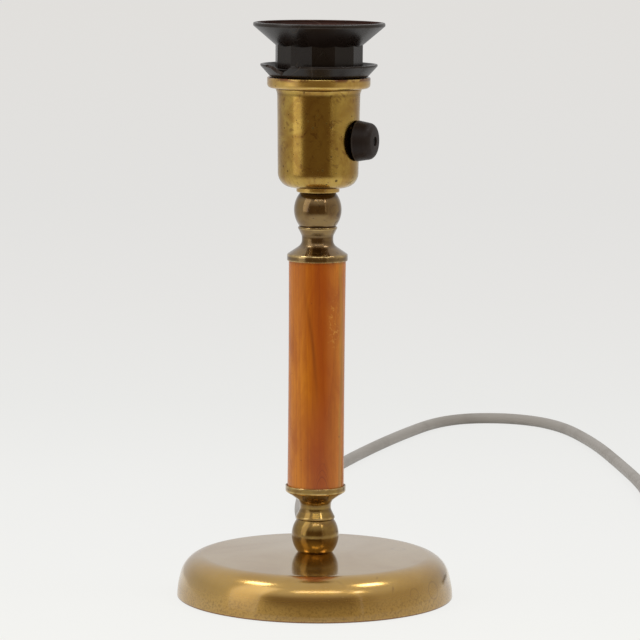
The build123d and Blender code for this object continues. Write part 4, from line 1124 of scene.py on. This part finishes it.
# Screw shell for the lamp cap, with its rolled thread, and the threaded barrel
capShell = {"bore": 13.25, "wall": 0.4, "step": 11.9, "stepHeight": 3.6, "lip": 1.4, "pitch": 3.62,
            "depth": 1.05, "runOut": 2.0, "fullness": 1.2, "segments": 128, "rings": 150, "sharp": 35.0}
barrel = {"radius": 19.9, "inner": 18.0, "skirt": 19.5, "flange": 20.9, "flangeHeight": 1.4, "lip": 14.6,
          "lipHeight": 1.5, "edge": 0.5, "pitch": 2.5, "depth": 0.6, "wallSteps": 90, "bevel": 0.8,
          "bevelIn": 0.7, "threadGap": 1.0, "threadSkin": 0.05, "runOut": 1.5, "sharp": 50.0}


def makeCapShell(shell):
    low, high = (corner.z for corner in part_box("lamp_screw_shell"))
    step = low + shell["stepHeight"] * mm
    piece = newObject("lampScrewShell", bpy.data.meshes.new("lampScrewShell"))
    runTree(piece, thread, {
        "Segments": shell["segments"], "Rings": shell["rings"],
        "Radius": (shell["bore"] + shell["wall"]) * mm, "Depth": shell["depth"] * mm,
        "Pitch": shell["pitch"] * mm, "Bottom": step, "Height": high - step,
        "Run Out": shell["runOut"] * mm, "Fullness": shell["fullness"], "Finish": contactBrass})
    # the narrow cup below the thread, down to the centre contact
    work = bmesh.new()
    work.from_mesh(piece.data)
    bmesh.ops.remove_doubles(work, verts=work.verts, dist=tiny)
    ring = [edge for edge in work.edges
            if edge.is_boundary and max(v.co.z for v in edge.verts) < step + 10 * tiny]
    for across, up in ((shell["step"], step), (shell["step"], low), (shell["step"] - shell["lip"], low)):
        grown = bmesh.ops.extrude_edge_only(work, edges=ring)["geom"]
        for vertex in (item for item in grown if isinstance(item, bmesh.types.BMVert)):
            scale = across * mm / math.hypot(vertex.co.x, vertex.co.y)
            vertex.co = Vector((vertex.co.x * scale, vertex.co.y * scale, up))
        ring = [item for item in grown if isinstance(item, bmesh.types.BMEdge)]
    bmesh.ops.recalc_face_normals(work, faces=work.faces)
    work.to_mesh(piece.data)
    work.free()
    # the wall grows inwards from the outer skin
    solid = piece.modifiers.new("wall", "SOLIDIFY")
    solid.thickness = shell["wall"] * mm
    solid.offset = -1.0
    settle(piece)
    return cleanMesh(piece, shell["sharp"])


def makeBarrel(barrel):
    low, high = (corner.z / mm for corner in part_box("threaded_barrel"))
    tall = high - low
    radius, bevel = barrel["radius"], tall - barrel["bevel"]
    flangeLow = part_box("holder_top_ring")[1].z / mm - topRing["web"] - barrel["flangeHeight"] - low
    flangeTop = flangeLow + barrel["flangeHeight"]
    count = barrel["wallSteps"]
    wall = [(radius, flangeTop + (bevel - flangeTop) * step / count, None) for step in range(count + 1)]
    piece = turnCorners("threadedBarrel", "threaded_barrel", [
        (barrel["inner"], 0.0, 0.1),
        (barrel["skirt"], 0.0, 0.1),
        (barrel["skirt"], flangeLow, 0.0),
        (barrel["flange"], flangeLow, 0.1),
        (barrel["flange"], flangeTop, 0.1),
        *wall,
        (radius - barrel["bevelIn"], tall, 0.3),
        (barrel["lip"], tall, barrel["edge"]),
        (barrel["lip"], tall - barrel["lipHeight"], 0.2),
        (barrel["inner"], tall - barrel["lipHeight"], 0.0),
    ], barrelBakelite, 192)
    # the outer wall's vertices move in along a helix
    start, end = (low + flangeTop + barrel["threadGap"]) * mm, (high - barrel["bevel"]) * mm
    for vertex in piece.data.vertices:
        x, y, up = vertex.co
        across = math.hypot(x, y)
        if across > (radius - barrel["threadSkin"]) * mm and start < up < end:
            wave = 0.5 + 0.5 * math.cos(fullTurn * up / (barrel["pitch"] * mm) - math.atan2(y, x))
            fade = min(1.0, min(up - start, end - up) / (barrel["runOut"] * mm))
            scale = (across - barrel["depth"] * mm * wave * fade) / across
            vertex.co.x *= scale
            vertex.co.y *= scale
    piece.data.set_sharp_from_angle(angle=math.radians(barrel["sharp"]))
    return piece


switchKnob = makeKnob(knob)
lampScrewShell = makeCapShell(capShell)
threadedBarrel = makeBarrel(barrel)

# Bush with its tapered relief, cut by slots like the real one, which bends; this one stays rigid
relief = {"bore": 3.55, "depth": 5.4, "flange": 5.6, "flangeWidth": 2.0, "body": 4.9, "collar": 6.4,
          "collarWidth": 2.0, "length": 24.0, "root": 5.9, "tip": 4.5, "ribs": 6, "ribShare": 0.42,
          "ribDepth": 0.8, "ribRound": 0.25, "skin": 0.45, "fade": 0.3, "lift": 7.0}


def makeRelief(relief):
    ribStart, tip = relief["collarWidth"], relief["length"]
    corners = [
        (relief["bore"], -relief["depth"], 0.0),
        (relief["flange"], -relief["depth"], 0.2),
        (relief["flange"], relief["flangeWidth"] - relief["depth"], 0.2),
        (relief["body"], relief["flangeWidth"] - relief["depth"], 0.0),
        (relief["body"], 0.0, 0.0),
        (relief["collar"], 0.0, 0.3),
        (relief["collar"], ribStart, 0.5),
    ]
    pitch = (tip - ribStart) / (relief["ribs"] + 0.5)
    for rib in range(relief["ribs"]):
        for share, sunk in ((0.0, 1), (relief["ribShare"], 1), (relief["ribShare"], 0), (1.0, 0)):
            up = ribStart + (rib + share) * pitch
            across = relief["root"] + (relief["tip"] - relief["root"]) * (up - ribStart) / (tip - ribStart)
            across = max(across - sunk * relief["ribDepth"], relief["bore"] + relief["skin"])
            corners.append((across, up, relief["ribRound"]))
    corners += [(relief["tip"], tip, 0.3), (relief["bore"], tip, 0.1)]
    place = Matrix.Translation((0, 0, relief["lift"] * mm)) @ Matrix.Rotation(math.radians(-90), 4, "X")
    points = roundedOutline(corners, relief["fade"])
    return turnPiece("leadRelief", points, foot["radius"] * mm, leadSheath, 96, place)


# Felt that closes the foot, with a soft cut edge
felt = {"thick": 1.2, "round": 0.35, "middle": 0.02}


def makeFelt(felt):
    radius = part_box("felt_pad")[1].x / mm
    return turnCorners("footFeltPad", "felt_pad", [
        (felt["middle"], 0.0, None),
        (radius, 0.0, felt["round"]),
        (radius, felt["thick"], felt["round"]),
        (felt["middle"], felt["thick"], None),
    ], footFelt, 192)


leadRelief = makeRelief(relief)
footFeltPad = makeFelt(felt)
print("small pieces made")

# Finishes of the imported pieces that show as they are
nodeFinishes = {
    "base_weight": castIron, "base_washer": steel, "base_nut": steel, "threaded_tube": steel,
    "holder_nut": steel, "contact_block": barrelBakelite, "terminals": contactBrass,
    "terminal_screws": steel, "centre_contact": contactBrass, "switch_bush": contactBrass,
    "switch_shaft": steel, "switch_rotor": knobBakelite, "knob_screw": darkSteel,
    "lead_inner": leadSheath, "live_core": liveSheath, "neutral_core": neutralSheath,
    "earth_core": earthSheath, "earth_tag": steel, "earth_screw": steel, "lead_clamp": tieWeave,
    "clamp_screws": steel, "coil_tie": tieWeave, "plug_body": plugMoulding, "plug_pins": nickel,
    "plug_earth_strips": nickel,
}
for nodeName, material in nodeFinishes.items():
    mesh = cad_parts[nodeName].data
    mesh.materials.clear()
    mesh.materials.append(material)

# Which body each piece rides on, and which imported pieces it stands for
pieces = [
    (footShell, "lamp", ["base_shell"], "foot_brass"),
    (lowerFitting, "lamp", ["lower_fitting"], "bronzed_brass"),
    (upperFitting, "lamp", ["upper_fitting"], "bronzed_brass"),
    (woodColumn, "lamp", ["wood_column"], "column_wood"),
    (holderCollar, "lamp", ["holder_collar"], "bronzed_brass"),
    (holderShell, "lamp", ["holder_shell"], "holder_brass"),
    (holderTopRing, "lamp", ["holder_top_ring"], "ring_brass"),
    (threadedBarrel, "lamp", ["threaded_barrel"], "dark_bakelite"),
    (lampScrewShell, "lamp", ["lamp_screw_shell"], "contact_brass"),
    (footFeltPad, "lamp", ["felt_pad"], "felt"),
    (leadRelief, "lamp", ["lead_bush"], "lead_grey"),
    (mainsLead, "lamp", ["lead_free", "lead_coil"], "lead_grey"),
    (lowerShadeRing, "lower_ring", ["lower_shade_ring"], "dark_bakelite"),
    (upperShadeRing, "upper_ring", ["upper_shade_ring"], "dark_bakelite"),
    (switchKnob, "switch", ["switch_knob"], "knob_bakelite"),
]
mainsLead.data.materials.append(leadSheath)
for piece, body, nodes, slotName in pieces:
    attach(piece, body)
    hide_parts(*nodes)
print("pieces ride on their bodies")

# Studio: pale floor, a dark room in front of the lamp, a bright one behind it, and soft boxes
studio = {
    "floorSize": 44.0, "floorTone": (232, 232, 230), "floorDrop": 0.0001, "skyTone": (229, 227, 225),
    "shownShare": 0.92, "cameraUp": 0.361, "cameraBack": 1.75, "rampScale": 4.0,
    # how steeply the camera looks down at a spot of the floor, and the tone that it shows there
    "shown": [(0.035, (227, 225, 222)), (0.091, (228, 227, 225)), (0.12, (231, 230, 228)),
              (0.149, (234, 234, 232)), (0.172, (239, 239, 237)), (0.19, (241, 241, 239)),
              (0.218, (244, 244, 241))],
    # what polished pieces mirror beyond the near floor: degrees from the camera's side, light
    "around": [(-180, (0.66, 0.655, 0.65)), (-140, (0.62, 0.61, 0.6)), (-128, (0.6, 0.59, 0.56)),
               (-80, (0.73, 0.71, 0.66)), (-44, (0.3, 0.25, 0.19)), (-36, (0.22, 0.155, 0.09)),
               (30, (0.22, 0.155, 0.09)), (40, (0.34, 0.28, 0.2)), (56, (0.6, 0.55, 0.47)),
               (112, (0.66, 0.63, 0.58)), (126, (0.6, 0.59, 0.57)), (140, (0.6, 0.59, 0.58)),
               (180, (0.66, 0.655, 0.65))],
    "nearFloor": (0.36, 0.75), "above": (0.8, 0.79, 0.77), "aboveFrom": 0.28, "aboveTo": 0.62,
}


def addRamp(value, stops):
    ramp = addNode(value.tree, "ShaderNodeValToRGB", {0: value})
    elements = ramp.color_ramp.elements
    elements.remove(elements[-1])
    elements[0].position, elements[0].color = stops[0]
    for position, colour in stops[1:]:
        elements.new(position).color = colour
    return Wire(ramp.outputs[0])


def surroundingsGroup(studio):
    # light of the surroundings by compass direction
    tree, given, result = newTree("surroundings", {"Vector": "Vector"}, {"Light": "Color"})
    x, y, _ = separate(given["Vector"])
    turn = calc("ARCTAN2", x, y * -1.0) * (1 / fullTurn) + 0.5
    stops = [(degrees / 360 + 0.5, (*light, 1)) for degrees, light in studio["around"]]
    connect(result, {"Light": addRamp(turn, stops)})
    return tree


def makeFloor(studio):
    half = studio["floorSize"] / 2
    corners = [(-half, -half, 0), (half, -half, 0), (half, half, 0), (-half, half, 0)]
    mesh = bpy.data.meshes.new("studioFloor")
    mesh.from_pydata(corners, [], [(0, 1, 2, 3)])
    floor = newObject("studioFloor", mesh)
    material, shader, spot = newFinish("floorPaper", {
        "Roughness": 0.9, "Specular IOR Level": 0.1, "Base Color": linear(*studio["floorTone"])})
    tree = material.node_tree
    x, y, _ = separate(spot)
    steep = studio["cameraUp"] / calc("MAXIMUM", y + studio["cameraBack"], 0.5)
    scale = studio["rampScale"]
    shown = addRamp(steep * scale, [(scale * slope, linear(*tone)) for slope, tone in studio["shown"]])
    # polished pieces see the near floor, and beyond it the darker or lighter room
    beyond = spread(calc("SQRT", x * x + y * y), *studio["nearFloor"])
    mirrored = mixTone(beyond, shown, placeGroup(surroundings, spot))
    path = addNode(tree, "ShaderNodeLightPath").outputs
    camera = Wire(path["Is Camera Ray"])
    glow = wired(tree, "ShaderNodeEmission", {"Color": mixTone(camera, mirrored, shown), "Strength": 1.0})
    direct = calc("MAXIMUM", camera, path["Is Transmission Ray"]) * studio["shownShare"]
    share = calc("MAXIMUM", direct, path["Is Glossy Ray"])
    both = wired(tree, "ShaderNodeMixShader", {0: share, 1: shader.outputs[0], 2: glow})
    connect(tree.nodes["Material Output"], {"Surface": both})
    mesh.materials.append(material)
    floor.location.z = -studio["floorDrop"]


def makeWorld(studio):
    world = bpy.data.worlds.new("studioWorld")
    bpy.context.scene.world = world
    world.use_nodes = True
    tree = world.node_tree
    away = wired(tree, "ShaderNodeTexCoord", output="Generated")
    upward = spread(separate(away)[2], studio["aboveFrom"], studio["aboveTo"])
    light = mixTone(upward, placeGroup(surroundings, away), (*studio["above"], 1))
    camera = wired(tree, "ShaderNodeLightPath", output="Is Camera Ray")
    connect(tree.nodes["Background"], {"Color": mixTone(camera, light, linear(*studio["skyTone"]))})


# Soft boxes: degrees from the camera's side, degrees up, metres away, (width, height), roll in degrees,
# and brightness, where white is 1
softboxes = {
    "leftBox": (-61.0, 24.0, 1.3, (0.7, 1.5), 0.0, 0.86),
    "rightStrip": (39.0, 24.0, 1.3, (0.05, 1.5), 0.0, 0.8),
    "overheadLeft": (-88.0, 58.0, 1.5, (0.4, 0.26), 32.0, 8.0),
    "overheadRight": (84.0, 58.0, 1.5, (0.4, 0.26), -32.0, 8.5),
    "highRight": (43.0, 37.0, 1.5, (0.15, 0.17), 0.0, 6.0),
    "frontFill": (4.0, 47.0, 2.0, (1.2, 0.15), 0.0, 5.4),
}
lightTarget = Vector((0, 0, 0.16))


def makeLights(boxes):
    for name, (azimuth, elevation, distance, (width, height), roll, level) in boxes.items():
        turn, rise = math.radians(azimuth), math.radians(elevation)
        away = Vector((math.sin(turn) * math.cos(rise), -math.cos(turn) * math.cos(rise), math.sin(rise)))
        data = bpy.data.lights.new(name, "AREA")
        data.shape = "RECTANGLE"
        data.size = width
        data.size_y = height
        data.energy = level * math.pi * width * height
        lamp = newObject(name, data)
        lamp.location = lightTarget + away * distance
        twist = Quaternion((0, 0, 1), math.radians(roll))
        lamp.rotation_euler = ((-away).to_track_quat("-Z", "Y") @ twist).to_euler()
        lamp.visible_camera = False


surroundings = surroundingsGroup(studio)
makeFloor(studio)
makeWorld(studio)
makeLights(softboxes)
bpy.context.scene.view_settings.view_transform = "Standard"
print("studio lit")
